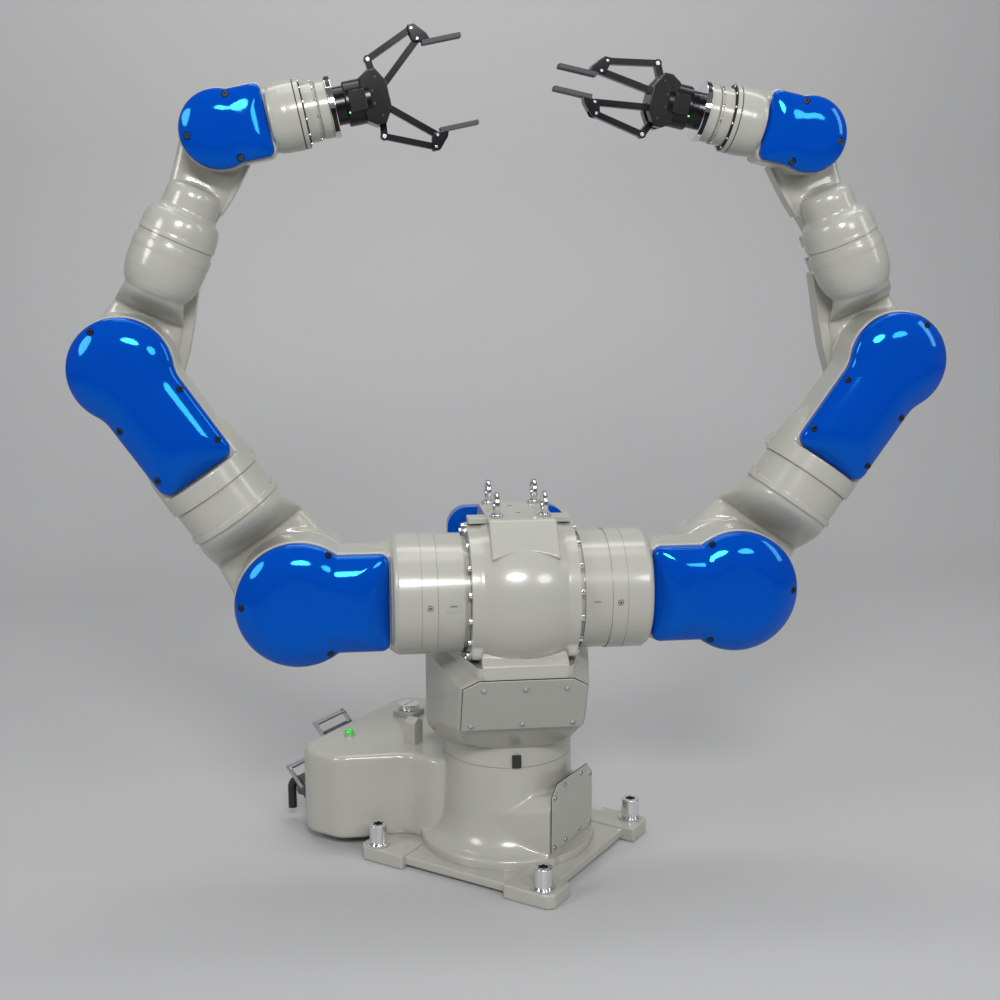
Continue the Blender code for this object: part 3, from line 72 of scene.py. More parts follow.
class Cut(Enum):
    """What a boolean step does with its tool."""

    AWAY = "DIFFERENCE"
    TOGETHER = "UNION"


class Hand(Enum):
    """The two arms, by the side of the photograph that they reach to."""

    LEFT = "left"
    RIGHT = "right"


LATHE_TURNS = {
    Axis.Z: Matrix.Identity(4),
    Axis.X: Matrix.Rotation(math.radians(90.0), 4, "Y"),
    Axis.Y: Matrix.Rotation(math.radians(-90.0), 4, "X"),
}
SLAB_TURNS = {
    Axis.Z: Matrix.Identity(4),
    Axis.Y: Matrix(((1, 0, 0, 0), (0, 0, 1, 0), (0, 1, 0, 0), (0, 0, 0, 1))),
    Axis.X: Matrix(((0, 0, 1, 0), (1, 0, 0, 0), (0, 1, 0, 0), (0, 0, 0, 1))),
}


@dataclass(frozen=True)
class Finish:
    """A procedural surface: its tone, gloss, grain and the record slot it stands for."""

    slot: str
    colour: tuple[float, float, float]
    roughness: float
    metallic: float = 0.0
    coat: float = 0.0
    tone: float = 0.04
    tone_scale: float = 9.0
    wear: float = 0.02
    wear_scale: float = 11.0
    grain: float = 0.008
    grain_scale: float = 320.0
    stretch: tuple[float, float, float] = (1.0, 1.0, 1.0)
    sheen: tuple[float, float, float] = (1.0, 1.0, 1.0)
    gleam: float = 0.5
    glow: float = 0.0

    def material(self) -> bpy.types.Material:
        """Return the material of this finish, made once and then shared.

        Returns:
            The node material.
        """
        title = f"{self.slot}_{int(self.roughness * 100):02d}_{int(self.grain_scale)}"
        found = bpy.data.materials.get(title)
        if found:
            return found
        material = bpy.data.materials.new(title)
        material.use_nodes = True
        tree = material.node_tree
        shader = tree.nodes["Principled BSDF"]
        shader.inputs["Metallic"].default_value = self.metallic
        shader.inputs["Coat Weight"].default_value = self.coat
        shader.inputs["Coat Roughness"].default_value = 0.06
        shader.inputs["Specular IOR Level"].default_value = self.gleam
        shader.inputs["Specular Tint"].default_value = (*self.sheen, 1.0)
        place = tree.nodes.new("ShaderNodeTexCoord")
        spread = tree.nodes.new("ShaderNodeMapping")
        spread.inputs["Scale"].default_value = self.stretch
        tree.links.new(place.outputs["Object"], spread.inputs["Vector"])
        clouds = self._noise(tree, spread, self.tone_scale, 3.0)
        ramp = tree.nodes.new("ShaderNodeValToRGB")
        ramp.color_ramp.elements[0].position = 0.3
        ramp.color_ramp.elements[1].position = 0.7
        ramp.color_ramp.elements[0].color = self._shade(1.0 - self.tone)
        ramp.color_ramp.elements[1].color = self._shade(1.0 + self.tone)
        tree.links.new(clouds.outputs["Fac"], ramp.inputs["Fac"])
        tree.links.new(ramp.outputs["Color"], shader.inputs["Base Color"])
        smears = self._noise(tree, spread, self.wear_scale, 4.0)
        gloss = tree.nodes.new("ShaderNodeMapRange")
        gloss.inputs["From Min"].default_value = 0.3
        gloss.inputs["From Max"].default_value = 0.7
        gloss.inputs["To Min"].default_value = max(self.roughness - self.wear, 0.02)
        gloss.inputs["To Max"].default_value = self.roughness + self.wear
        tree.links.new(smears.outputs["Fac"], gloss.inputs["Value"])
        tree.links.new(gloss.outputs["Result"], shader.inputs["Roughness"])
        peel = self._noise(tree, spread, self.grain_scale, 2.0)
        bump = tree.nodes.new("ShaderNodeBump")
        bump.inputs["Strength"].default_value = self.grain
        bump.inputs["Distance"].default_value = 0.001
        tree.links.new(peel.outputs["Fac"], bump.inputs["Height"])
        tree.links.new(bump.outputs["Normal"], shader.inputs["Normal"])
        if self.glow:
            shader.inputs["Emission Color"].default_value = (*self.colour, 1.0)
            shader.inputs["Emission Strength"].default_value = self.glow
        return material

    def _shade(self, level: float) -> tuple[float, float, float, float]:
        """Return the base colour at a level, with its alpha."""
        red, green, blue = (min(channel * level, 1.0) for channel in self.colour)
        return (red, green, blue, 1.0)

    @staticmethod
    def _noise(
        tree: bpy.types.NodeTree, spread: bpy.types.Node, scale: float, detail: float
    ) -> bpy.types.Node:
        """Add a noise texture that reads the piece's own coordinates.

        Args:
            tree: Node tree of the material.
            spread: Mapping node that stretches the pattern.
            scale: Noise scale in cycles per metre.
            detail: Octaves of detail.

        Returns:
            The noise node.
        """
        noise = tree.nodes.new("ShaderNodeTexNoise")
        noise.inputs["Scale"].default_value = scale
        noise.inputs["Detail"].default_value = detail
        tree.links.new(spread.outputs["Vector"], noise.inputs["Vector"])
        return noise


GREY_PAINT = Finish("grey_paint", (0.39, 0.39, 0.345), 0.24, coat=0.3, tone=0.012, wear=0.015)
GREY_PLATE = Finish("grey_paint", (0.375, 0.375, 0.335), 0.34, coat=0.1, tone=0.02, grain_scale=700.0)
BLUE_PAINT = Finish(
    "blue_paint", (0.0003, 0.052, 0.4), 0.075, tone=0.02, wear=0.01, grain=0.003,
    sheen=(0.05, 0.62, 1.0), gleam=0.85,
)
CHROME = Finish("bright_metal", (0.8, 0.8, 0.81), 0.1, metallic=1.0, wear=0.04, tone=0.05)
STEEL = Finish(
    "steel_levers", (0.5, 0.51, 0.53), 0.3, metallic=1.0, tone=0.08, grain=0.05,
    grain_scale=500.0, stretch=(1.0, 1.0, 8.0),
)
BLACK_METAL = Finish(
    "black_metal", (0.0035, 0.0035, 0.004), 0.24, tone=0.1, wear=0.03, gleam=0.35, grain_scale=900.0
)
BLACK_SCREW = Finish("black_metal", (0.03, 0.03, 0.032), 0.34, metallic=0.6, tone=0.12, grain_scale=900.1)
# Near-black for seams, sockets, slots and gaps: painted shade standing in for the shadow inside those hollows.
PAINTED_SHADE = Finish("black_metal", (0.004, 0.004, 0.004), 0.6, tone=0.1, grain_scale=901.0)
PAD_RUBBER = Finish("pad_rubber", (0.055, 0.055, 0.057), 0.62, grain=0.12, grain_scale=1100.0)
HOOD_PLASTIC = Finish("hood_plastic", (0.065, 0.065, 0.067), 0.46, grain=0.1, grain_scale=800.0)
BLACK_RUBBER = Finish("black_rubber", (0.014, 0.014, 0.015), 0.55, grain=0.08, grain_scale=700.0)
GREEN_LENS = Finish("green_lens", (0.045, 0.5, 0.06), 0.14, coat=0.6, glow=0.25)
GREEN_LIGHT = Finish("green_lens", (0.1, 1.0, 0.1), 0.3, glow=3.0)


class Bench:
    """Modelling steps on Blender's operators, each leaving one selected object."""

    @staticmethod
    def deselect() -> None:
        """Leave nothing selected."""
        bpy.ops.object.select_all(action="DESELECT")

    @staticmethod
    def pick(item: Piece) -> None:
        """Select one object alone and make it active.

        Args:
            item: Piece to select.
        """
        Bench.deselect()
        item.select_set(True)
        bpy.context.view_layer.objects.active = item

    @staticmethod
    def _close(item: Piece) -> Piece:
        """Turn every face outwards and leave edit mode.

        Args:
            item: Piece in edit mode.

        Returns:
            The same piece.
        """
        bpy.ops.mesh.select_all(action="SELECT")
        bpy.ops.mesh.normals_make_consistent(inside=False)
        bpy.ops.object.mode_set(mode="OBJECT")
        return item

    @staticmethod
    def lathe(profile: Sequence[Point2], axis: Axis = Axis.Z, steps: int = 72) -> Piece:
        """Extrude and scale a disc up through a profile.

        Args:
            profile: (radius, height) pairs from one end to the other.
            axis: Axis that the piece is laid along.
            steps: Sides round the piece.

        Returns:
            The closed piece.
        """
        Bench.deselect()
        radius, height = profile[0]
        bpy.ops.mesh.primitive_circle_add(vertices=steps, radius=radius, fill_type="NGON")
        item = bpy.context.object
        bpy.ops.object.mode_set(mode="EDIT")
        bpy.ops.transform.translate(value=(0.0, 0.0, height))
        for next_radius, next_height in profile[1:]:
            rise = (0.0, 0.0, next_height - height)
            bpy.ops.mesh.extrude_region_move(TRANSFORM_OT_translate={"value": rise})
            if next_radius != radius:
                ratio = next_radius / radius
                bpy.ops.transform.resize(
                    value=(ratio, ratio, 1.0), center_override=(0.0, 0.0, next_height)
                )
            radius, height = next_radius, next_height
        Bench._close(item)
        item.data.transform(LATHE_TURNS[axis])
        return item

    @staticmethod
    def stack(rings: Sequence[Ring]) -> Piece:
        """Extrude an outline through a row of sections with the same number of points.

        Args:
            rings: Sections in order, each a list of points.

        Returns:
            The closed piece.
        """
        Bench.deselect()
        bpy.ops.mesh.primitive_circle_add(vertices=len(rings[0]), radius=1.0, fill_type="NGON")
        item = bpy.context.object
        bpy.ops.object.mode_set(mode="EDIT")
        work = bmesh.from_edit_mesh(item.data)
        order = list(work.verts)
        for vert, point in zip(order, rings[0]):
            vert.co = point
        places = [tuple(vert.co) for vert in order]
        for ring in rings[1:]:
            bpy.ops.mesh.extrude_region_move(TRANSFORM_OT_translate={"value": (0.0, 0.0, 0.0)})
            work = bmesh.from_edit_mesh(item.data)
            raised = {tuple(vert.co): vert for vert in work.verts if vert.select}
            order = [raised[place] for place in places]
            for vert, point in zip(order, ring):
                vert.co = point
            places = [tuple(vert.co) for vert in order]
        bmesh.update_edit_mesh(item.data)
        return Bench._close(item)

    @staticmethod
    def slab(
        outline: Sequence[Point2], low: float, high: float, axis: Axis = Axis.Z, soft: float = 0.0
    ) -> Piece:
        """Extrude a flat outline between two heights and soften its edges.

        Args:
            outline: Corner points; (x, y) along Z, (x, z) along Y and (y, z) along X.
            low: Height of the first face.
            high: Height of the second face.
            axis: Axis of the extrusion.
            soft: Bevel width, or zero for sharp edges.

        Returns:
            The closed plate.
        """
        rings = [[(a, b, level) for a, b in outline] for level in (low, high)]
        item = Bench.stack(rings)
        item.data.transform(SLAB_TURNS[axis])
        Bench.face_out(item)
        if soft:
            Bench.soften(item, soft)
        return item

    @staticmethod
    def face_out(item: Piece) -> None:
        """Turn the faces of a closed piece outwards.

        Args:
            item: Closed piece.
        """
        Bench.pick(item)
        bpy.ops.object.mode_set(mode="EDIT")
        Bench._close(item)

    @staticmethod
    def block(low: Sequence[float], high: Sequence[float], soft: float = 0.0) -> Piece:
        """Scale a cube to two corners and soften its edges.

        Args:
            low: Lowest corner.
            high: Highest corner.
            soft: Bevel width, or zero for sharp edges.

        Returns:
            The closed block.
        """
        Bench.deselect()
        bpy.ops.mesh.primitive_cube_add(size=1.0)
        item = bpy.context.object
        bpy.ops.object.mode_set(mode="EDIT")
        bpy.ops.transform.resize(value=tuple(b - a for a, b in zip(low, high)))
        bpy.ops.transform.translate(value=tuple((a + b) / 2.0 for a, b in zip(low, high)))
        bpy.ops.object.mode_set(mode="OBJECT")
        if soft:
            Bench.soften(item, soft)
        return item

    @staticmethod
    def soften(item: Piece, width: float, segments: int = 2, angle: float = 34.0) -> None:
        """Bevel the sharp edges and apply the modifier.

        Args:
            item: Piece to soften.
            width: Bevel width in metres.
            segments: Steps across the bevel.
            angle: Edges sharper than this many degrees are bevelled.
        """
        step = item.modifiers.new("Soft edges", "BEVEL")
        step.width = width
        step.segments = segments
        step.limit_method = "ANGLE"
        step.angle_limit = math.radians(angle)
        Bench.apply(item, step)

    @staticmethod
    def apply(item: Piece, step: bpy.types.Modifier) -> None:
        """Apply one modifier of a piece."""
        Bench.pick(item)
        bpy.ops.object.modifier_apply(modifier=step.name)

    @staticmethod
    def shape(item: Piece, cut: Cut, *tools: Piece) -> Piece:
        """Cut tools away from a piece, or fuse them to it, and drop the tools.

        Args:
            item: Piece to change.
            cut: What the step does.
            *tools: Closed tools.

        Returns:
            The changed piece.
        """
        for tool in tools:
            step = item.modifiers.new("Shape", "BOOLEAN")
            step.operation = cut.value
            step.solver = "EXACT"
            step.object = tool
            Bench.apply(item, step)
            bpy.data.objects.remove(tool, do_unlink=True)
        return item

    @staticmethod
    def join(*items: Piece) -> Piece:
        """Put several closed shells in one object.

        Args:
            *items: Closed shells, of which the first takes the others.

        Returns:
            The joined piece.
        """
        Bench.deselect()
        for item in items:
            item.select_set(True)
        bpy.context.view_layer.objects.active = items[0]
        if len(items) > 1:
            bpy.ops.object.join()
        return items[0]

    @staticmethod
    def cast(voxel: float, passes: int, *shells: Piece) -> Piece:
        """Melt overlapping shells into one casting with soft inner corners.

        Args:
            voxel: Size of the remesh in metres.
            passes: Smoothing passes over the remesh.
            *shells: Closed shells that overlap.

        Returns:
            The casting.
        """
        item = Bench.join(*shells)
        melt = item.modifiers.new("Melt", "REMESH")
        melt.mode = "VOXEL"
        melt.voxel_size = voxel
        Bench.apply(item, melt)
        calm = item.modifiers.new("Calm", "SMOOTH")
        calm.factor = 0.5
        calm.iterations = passes
        Bench.apply(item, calm)
        return item

    @staticmethod
    def lay(item: Piece, matrix: Matrix) -> Piece:
        """Transform the mesh of a piece."""
        item.data.transform(matrix)
        return item

    @staticmethod
    def move(item: Piece, x: float, y: float, z: float) -> Piece:
        """Shift the mesh of a piece."""
        return Bench.lay(item, Matrix.Translation((x, y, z)))

    @staticmethod
    def twin(item: Piece, matrix: Matrix | None = None) -> Piece:
        """Copy a piece with its own mesh and move the copy.

        Args:
            item: Piece to copy.
            matrix: Where the copy goes, or None to leave it in place.

        Returns:
            The copy.
        """
        copy = item.copy()
        copy.data = item.data.copy()
        bpy.context.scene.collection.objects.link(copy)
        if matrix is not None:
            copy.data.transform(matrix)
        return copy

    @staticmethod
    def spread(model: Piece, places: Sequence[Matrix]) -> Piece:
        """Copy a small part to every place and join the copies.

        Args:
            model: Part drawn round the origin; it is used up.
            places: One matrix per copy.

        Returns:
            The joined copies.
        """
        copies = [Bench.twin(model, place) for place in places]
        bpy.data.objects.remove(model, do_unlink=True)
        return Bench.join(*copies)


class Draw:
    """Flat outlines and cross-sections."""

    @staticmethod
    def arc(centre: Point2, radius: float, start: float, end: float, steps: int) -> list[Point2]:
        """Return points on an arc between two angles in degrees.

        Args:
            centre: Centre of the arc.
            radius: Its radius.
            start: First angle in degrees.
            end: Last angle in degrees.
            steps: Steps along the arc.

        Returns:
            The points, both ends included.
        """
        points = []
        for i in range(steps + 1):
            angle = math.radians(start + (end - start) * i / steps)
            points.append(
                (centre[0] + radius * math.cos(angle), centre[1] + radius * math.sin(angle))
            )
        return points

    @staticmethod
    def turns(*degrees: float) -> list[Point2]:
        """Return the cosine and sine of each angle in degrees."""
        return [(math.cos(math.radians(angle)), math.sin(math.radians(angle))) for angle in degrees]

    @staticmethod
    def rounded(corners: Sequence[Point2], radius: float, steps: int = 6) -> list[Point2]:
        """Round the corners of a closed polygon, drawn anticlockwise.

        Args:
            corners: Corner points.
            radius: Corner radius.
            steps: Steps round each corner.

        Returns:
            The rounded outline.
        """
        points = []
        for i, corner in enumerate(corners):
            here = Vector(corner)
            before = (Vector(corners[i - 1]) - here).normalized()
            after = (Vector(corners[(i + 1) % len(corners)]) - here).normalized()
            half = before.angle(after) / 2.0
            run = radius / math.tan(half)
            centre = here + (before + after).normalized() * (radius / math.sin(half))
            first = here + before * run - centre
            sweep = first.angle_signed(here + after * run - centre)
            for step in range(steps + 1):
                spun = first.copy()
                spun.rotate(Matrix.Rotation(-sweep * step / steps, 2))
                points.append(tuple(centre + spun))
        return points

    @staticmethod
    def squircle(
        x: float, half_z: float, y_low: float, y_high: float, power: float = 2.0, count: int = 64
    ) -> Ring:
        """Return one cross-section at x, an ellipse at power 2 and boxier above it.

        Args:
            x: Place along X.
            half_z: Half of its height.
            y_low: Its front.
            y_high: Its back.
            power: Boxiness.
            count: Points round it.

        Returns:
            The points of the section.
        """
        points = []
        middle = (y_low + y_high) / 2.0
        half_y = (y_high - y_low) / 2.0
        for i in range(count):
            angle = 2.0 * math.pi * i / count
            c = math.cos(angle)
            s = math.sin(angle)
            reach_y = math.copysign(abs(c) ** (2.0 / power), c)
            reach_z = math.copysign(abs(s) ** (2.0 / power), s)
            points.append((x, middle + half_y * reach_y, half_z * reach_z))
        return points

    @staticmethod
    def bar(start: Point2, end: Point2, half: float, steps: int = 10) -> list[Point2]:
        """Return a flat bar with round ends between two points.

        Args:
            start: Centre of the first round end.
            end: Centre of the last round end.
            half: Half of its width.
            steps: Steps round each end.

        Returns:
            The closed outline.
        """
        run = Vector(end) - Vector(start)
        heading = math.degrees(math.atan2(run.y, run.x))
        points = Draw.arc(end, half, heading - 90.0, heading + 90.0, steps)
        return points + Draw.arc(start, half, heading + 90.0, heading + 270.0, steps)

    @staticmethod
    def star(radius: float, lobes: int = 6, steps: int = 36) -> list[Point2]:
        """Return the outline of a lobed socket.

        Args:
            radius: Mean radius.
            lobes: Number of lobes.
            steps: Points round it.

        Returns:
            The closed outline.
        """
        points = []
        for i in range(steps):
            angle = 2.0 * math.pi * i / steps
            reach = radius * (1.0 + 0.2 * math.cos(lobes * angle))
            points.append((reach * math.cos(angle), reach * math.sin(angle)))
        return points


class Hardware:
    """Screws, bolts and plugs that are modelled once and copied."""

    @staticmethod
    def socket_screw(radius: float, height: float) -> Piece:
        """Return a cap screw that stands on the origin along +Z.

        Args:
            radius: Radius of the head.
            height: Height of the head.

        Returns:
            The screw head.
        """
        head = Bench.lathe([(radius, 0.0), (radius, height)], steps=28)
        Bench.soften(head, radius * 0.14)
        hexagon = Draw.arc((0.0, 0.0), radius * 0.55, 0.0, 300.0, 5)
        return Bench.shape(head, Cut.AWAY, Bench.slab(hexagon, height * 0.45, height + 0.01))

    @staticmethod
    def button_screw(radius: float, height: float) -> Piece:
        """Return a low domed screw with a hexagon socket, along +Z.

        Args:
            radius: Radius of the head.
            height: Height of the head.

        Returns:
            The screw head.
        """
        rim = [(radius, 0.0)]
        rim += [(radius * c, height * (0.35 + 0.65 * s)) for c, s in Draw.turns(0.0, 25.0, 50.0, 75.0)]
        head = Bench.lathe(rim, steps=28)
        hexagon = Draw.arc((0.0, 0.0), radius * 0.45, 0.0, 300.0, 5)
        return Bench.shape(head, Cut.AWAY, Bench.slab(hexagon, height * 0.4, height + 0.01))


def facing(point: Sequence[float], normal: Sequence[float]) -> Matrix:
    """Return the matrix that stands a +Z part on a point along a normal."""
    turn = Vector((0.0, 0.0, 1.0)).rotation_difference(Vector(normal).normalized())
    return Matrix.Translation(Vector(point)) @ turn.to_matrix().to_4x4()


class Wardrobe:
    """Paints the pieces, seats them on their bodies and hides what they stand for."""

    def wear(
        self, item: Piece, name: str, body: str, finish: Finish,
        nodes: Sequence[str] = (), angle: float = 32.0,
    ) -> Piece:
        """Finish one piece, seat it on its body and hide the CAD nodes that it stands for.

        Args:
            item: The piece, in place in the robot's frame.
            name: Its name in the scene.
            body: Body that it rides on.
            finish: Its surface.
            nodes: CAD nodes that it stands for.
            angle: Edges sharper than this many degrees stay sharp.

        Returns:
            The finished piece.
        """
        item.name = name
        item.data.name = name
        item.data.materials.clear()
        item.data.materials.append(finish.material())
        Bench.pick(item)
        bpy.ops.object.shade_smooth_by_angle(angle=math.radians(angle))
        even = item.modifiers.new("Even shading", "WEIGHTED_NORMAL")
        even.keep_sharp = True
        Bench.apply(item, even)
        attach(item, body)
        if nodes:
            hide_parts(*nodes)
        LOG.info("%s rides on %s", name, body)
        return item


@dataclass
class Base:
    """Bolted base: feet, plate, flared column, connector box and its fittings."""

    turn: float = math.radians(-38.0)
    waist_radius: float = 0.123
    waist_height: float = 0.2045
    foot_x: float = 0.18
    foot_y: float = 0.178
    foot_top: float = 0.027
    foot_reach: float = 0.031
    foot_cut: float = 0.0125
    plate_top: float = 0.023
    flare: float = 0.045
    box_high: float = 0.189
    box_low: float = 0.021
    cover_flat: float = 0.141
    cover_half: float = 0.0795
    cover_low: float = 0.046
    cover_high: float = 0.174
    cover_cut: float = 0.021
    cover_thick: float = 0.003
    post_place: Point2 = (-0.186, -0.047)
    post_rise: float = 0.0523
    post_wide: float = 0.0293
    cap_place: Point2 = (-0.2835, 0.0785)
    cap_rise: float = 0.0125
    lamp_place: Point2 = (-0.317, -0.0815)
    lamp_radius: float = 0.01
    bolt_radius: float = 0.0173
    bolt_high: float = 0.0415
    plug_seat: float = -0.37
    plug_depth: float = 0.0355
    lever_reach: float = 0.052
    lever_lean: float = math.radians(180.0 - 46.0)
    outlet_radius: float = 0.009
    outlet_bend: float = 0.019
    outlet_run: float = 0.027
    voxel: float = 0.003
    shell: tuple[Point2, ...] = (
        (-0.06, -0.1045), (-0.06, 0.1045), (-0.163, 0.1045), (-0.2625, 0.19),
        (-0.37, 0.19), (-0.37, -0.19), (-0.2625, -0.19), (-0.163, -0.1045),
    )

    def _seat(self, item: Piece) -> Piece:
        """Turn a piece from the base's drawing into the robot's frame."""
        item.data.transform(Matrix.Rotation(self.turn, 4, "Z"))
        return item

    def build(self, wardrobe: Wardrobe) -> None:
        """Model and dress the whole base.

        Args:
            wardrobe: Takes the finished pieces.
        """
        wardrobe.wear(self._seat(self.casting()), "base_shell", "base", GREY_PAINT, ["base_casting"], 50.0)
        wardrobe.wear(self._seat(self.cover()), "base_side_plate", "base", GREY_PLATE, ["base_side_cover"])
        # The thin dark sheet round the side plate is a painted shadow line in the gap at its edge.
        wardrobe.wear(self._seat(self.cover_shadow_gap()), "base_side_shadow_gap", "base", PAINTED_SHADE)
        wardrobe.wear(self._seat(self.cover_screws()), "base_side_screws", "base", STEEL)
        self.anchors(wardrobe)
        self.fittings(wardrobe)
        self.plugs(wardrobe)

    def foot(self, x: float, y: float) -> Piece:
        """Return one bolted pad with its cut outer corner.

        Args:
            x: The bolt's place along X.
            y: The bolt's place along Y.

        Returns:
            The pad.
        """
        out = self.foot_reach
        sx = math.copysign(1.0, x)
        sy = math.copysign(1.0, y)
        corners = [
            (x + sx * out, y - sy * 0.048), (x + sx * out, y + sy * (out - 0.008 - self.foot_cut)),
            (x + sx * (out - self.foot_cut), y + sy * (out - 0.008)),
            (x - sx * 0.07, y + sy * (out - 0.008)), (x - sx * 0.07, y - sy * 0.048),
        ]
        if sx * sy < 0:
            corners.reverse()
        return Bench.slab(corners, 0.0, self.foot_top, Axis.Z, 0.003)

    def casting(self) -> Piece:
        """Return the casting from the feet to the waist seam and the gabled post.

        Returns:
            The joined shells.
        """
        flare = self.waist_radius + self.flare
        top = self.waist_height
        rows = [(flare, self.plate_top - 0.004), (flare, top - 0.168)]
        steps = 9
        for i in range(steps + 1):
            lean = math.radians(90.0 * i / steps)
            rows.append((
                self.waist_radius + 0.004 + (self.flare - 0.005) * (1.0 - math.sin(lean)),
                top - 0.163 + 0.062 * (1.0 - math.cos(lean)),
            ))
        rows += [(self.waist_radius + 0.001, top - 0.06), (self.waist_radius, top)]
        column = Bench.lathe(rows, steps=96)
        front = self.foot_x + 0.006
        rear = -self.foot_x - 0.01
        side = self.foot_y + 0.012
        plan = Draw.rounded([(front, -side), (front, side), (rear, side), (rear, -side)], 0.02)
        plate = Bench.slab(plan, 0.006, self.plate_top, Axis.Z, 0.003)
        inner = side - 0.036
        front -= 0.036
        core = Bench.slab([(front, -inner), (front, inner), (rear, inner), (rear, -inner)], 0.0, 0.01)
        feet = [self.foot(x, y) for x, y in self.feet()]
        body = Bench.cast(self.voxel, 9, column, self.rear_box(), self.pad())
        flat = Bench.block((self.cover_flat, -0.2, self.cover_low - 0.008), (0.3, 0.2, 0.234))
        cap = Bench.block((-0.3, -0.3, top), (0.3, 0.3, top + 0.05))
        Bench.shape(body, Cut.AWAY, flat, cap)
        return Bench.join(body, plate, core, *feet, self.post(), self.cap_block(), self.skirt())

    def skirt(self) -> Piece:
        """Return the thin turned lip under the waist seam."""
        high, radius = self.waist_height, self.waist_radius
        return Bench.lathe([(radius - 0.004, high - 0.01), (radius, high - 0.008), (radius, high)], steps=120)

    def feet(self) -> list[Point2]:
        """Return the four anchor points, numbered as the CAD numbers them."""
        return [(x, y) for x in (self.foot_x, -self.foot_x) for y in (-self.foot_y, self.foot_y)]

    def rear_box(self) -> Piece:
        """Return the connector box with its soft upright corners and top edge.

        Returns:
            The closed box.
        """
        middle = Vector((-0.19, 0.0))
        edge = 0.0145
        rows = [(0.004, self.box_low), (0.0, self.box_low + 0.006)]
        rows += [(edge * (1.0 - c), self.box_high - edge * (1.0 - s)) for c, s in Draw.turns(*QUARTER)]
        rings = []
        for inset, z in rows:
            ring = []
            for x, y in Draw.rounded(self.shell, 0.047):
                point = Vector((x, y))
                ring.append((*(point - (point - middle).normalized() * inset), z))
            rings.append(ring)
        return Bench.stack(rings)

    def post(self) -> Piece:
        """Return the gabled post behind the waist.

        Returns:
            The post.
        """
        x, y = self.post_place
        low = self.box_high - 0.003
        peak = self.box_high + self.post_rise
        half = self.post_wide / 2.0
        outline = [
            (y - half, low), (y + half, low), (y + half, peak - 0.009), (y, peak),
            (y - half, peak - 0.009),
        ]
        return Bench.slab(outline, x - 0.0125, x + 0.0125, Axis.X, 0.0015)

    def cap_block(self) -> Piece:
        """Return the square boss under the round cap.

        Returns:
            The boss.
        """
        x, y = self.cap_place
        half = 0.024
        high = self.box_high + self.cap_rise
        return Bench.block((x - half, y - half, self.box_high - 0.004), (x + half, y + half, high), 0.003)

    def cover_outline(self, grow: float, drop: float = 0.0) -> list[Point2]:
        """Return the side plate's outline with its two cut corners.

        Args:
            grow: How far it is drawn outside the plate's own edge.
            drop: How far its upper edges are lowered.

        Returns:
            The (y, z) corners.
        """
        half = self.cover_half + grow
        cut = self.cover_cut
        high = self.cover_high - drop
        return [
            (-half, self.cover_low - grow), (half, self.cover_low - grow), (half, high - cut),
            (half - cut, high + grow), (cut - half, high + grow), (-half, high - cut),
        ]

    def cover(self) -> Piece:
        """Return the plate on the flat of the column."""
        low = self.cover_flat + SEAM
        return Bench.slab(self.cover_outline(0.0), low + 0.0006, low + self.cover_thick, Axis.X, 0.0007)

    def cover_shadow_gap(self) -> Piece:
        """Return the thin dark sheet that shows behind and round the side plate: a painted shadow line in the gap
        at its edge.
        """
        low = self.cover_flat + SEAM
        return Bench.slab(self.cover_outline(0.0008), low, low + 0.0009, Axis.X)

    def pad(self) -> Piece:
        """Return the flat on the column behind the plate, its sides swept to the curve.

        Returns:
            The closed block.
        """
        front = self.cover_outline(0.003, self.cover_high - 0.15)
        front = [(y, max(z, 0.02) if z > 0.05 else 0.02) for y, z in front]
        back = [
            (-0.119, 0.02), (0.119, 0.02), (0.119, 0.118), (0.098, 0.14), (-0.098, 0.14), (-0.119, 0.118),
        ]
        return Bench.stack([
            [(0.045, y, z) for y, z in back], [(self.cover_flat + 0.01, y, z) for y, z in front],
        ])

    def cover_screws(self) -> Piece:
        """Return the eight screws of the side plate.

        Returns:
            The joined screws.
        """
        face = self.cover_flat + SEAM + self.cover_thick
        spots = [(-0.07, 0.151), (-0.032, 0.1645), (0.032, 0.1645), (0.07, 0.151)]
        spots += [(y, 0.054) for y in (-0.07, -0.028, 0.028, 0.07)]
        places = [facing((face, y, z), (1.0, 0.0, 0.0)) for y, z in spots]
        return Bench.spread(Hardware.button_screw(0.0046, 0.003), places)

    def anchors(self, wardrobe: Wardrobe) -> None:
        """Dress the four anchor bolts with their washers and star sockets, each socket with painted shade at its
        bottom.

        Args:
            wardrobe: Takes the finished pieces.
        """
        seat = self.foot_top + SEAM
        top = self.bolt_high
        for number, (x, y) in enumerate(self.feet(), start=1):
            bolt = Bench.lathe([(self.bolt_radius, 0.004), (self.bolt_radius, top)], steps=64)
            Bench.soften(bolt, 0.0014, 3)
            Bench.shape(bolt, Cut.AWAY, Bench.slab(Draw.star(0.0092), top - 0.012, top + 0.01))
            collar = Bench.lathe([(0.019, 0.003), (0.019, 0.0065)], steps=64)
            Bench.soften(collar, 0.001)
            washer = Bench.lathe([(0.0225, 0.0), (0.0225, 0.004)], steps=64)
            Bench.soften(washer, 0.001)
            body = Bench.join(bolt, collar, washer)
            Bench.move(body, x, y, seat)
            name = f"anchor_bolt_{number}"
            wardrobe.wear(self._seat(body), f"{name}_turned", "base", CHROME, [name])
            # A near-black star disc at the bottom of each socket: painted shade in the recess.
            floor = Bench.slab(Draw.star(0.0091), 0.0, 0.0006)
            Bench.move(floor, x, y, seat + top - 0.0118)
            wardrobe.wear(self._seat(floor), f"{name}_socket", "base", PAINTED_SHADE)

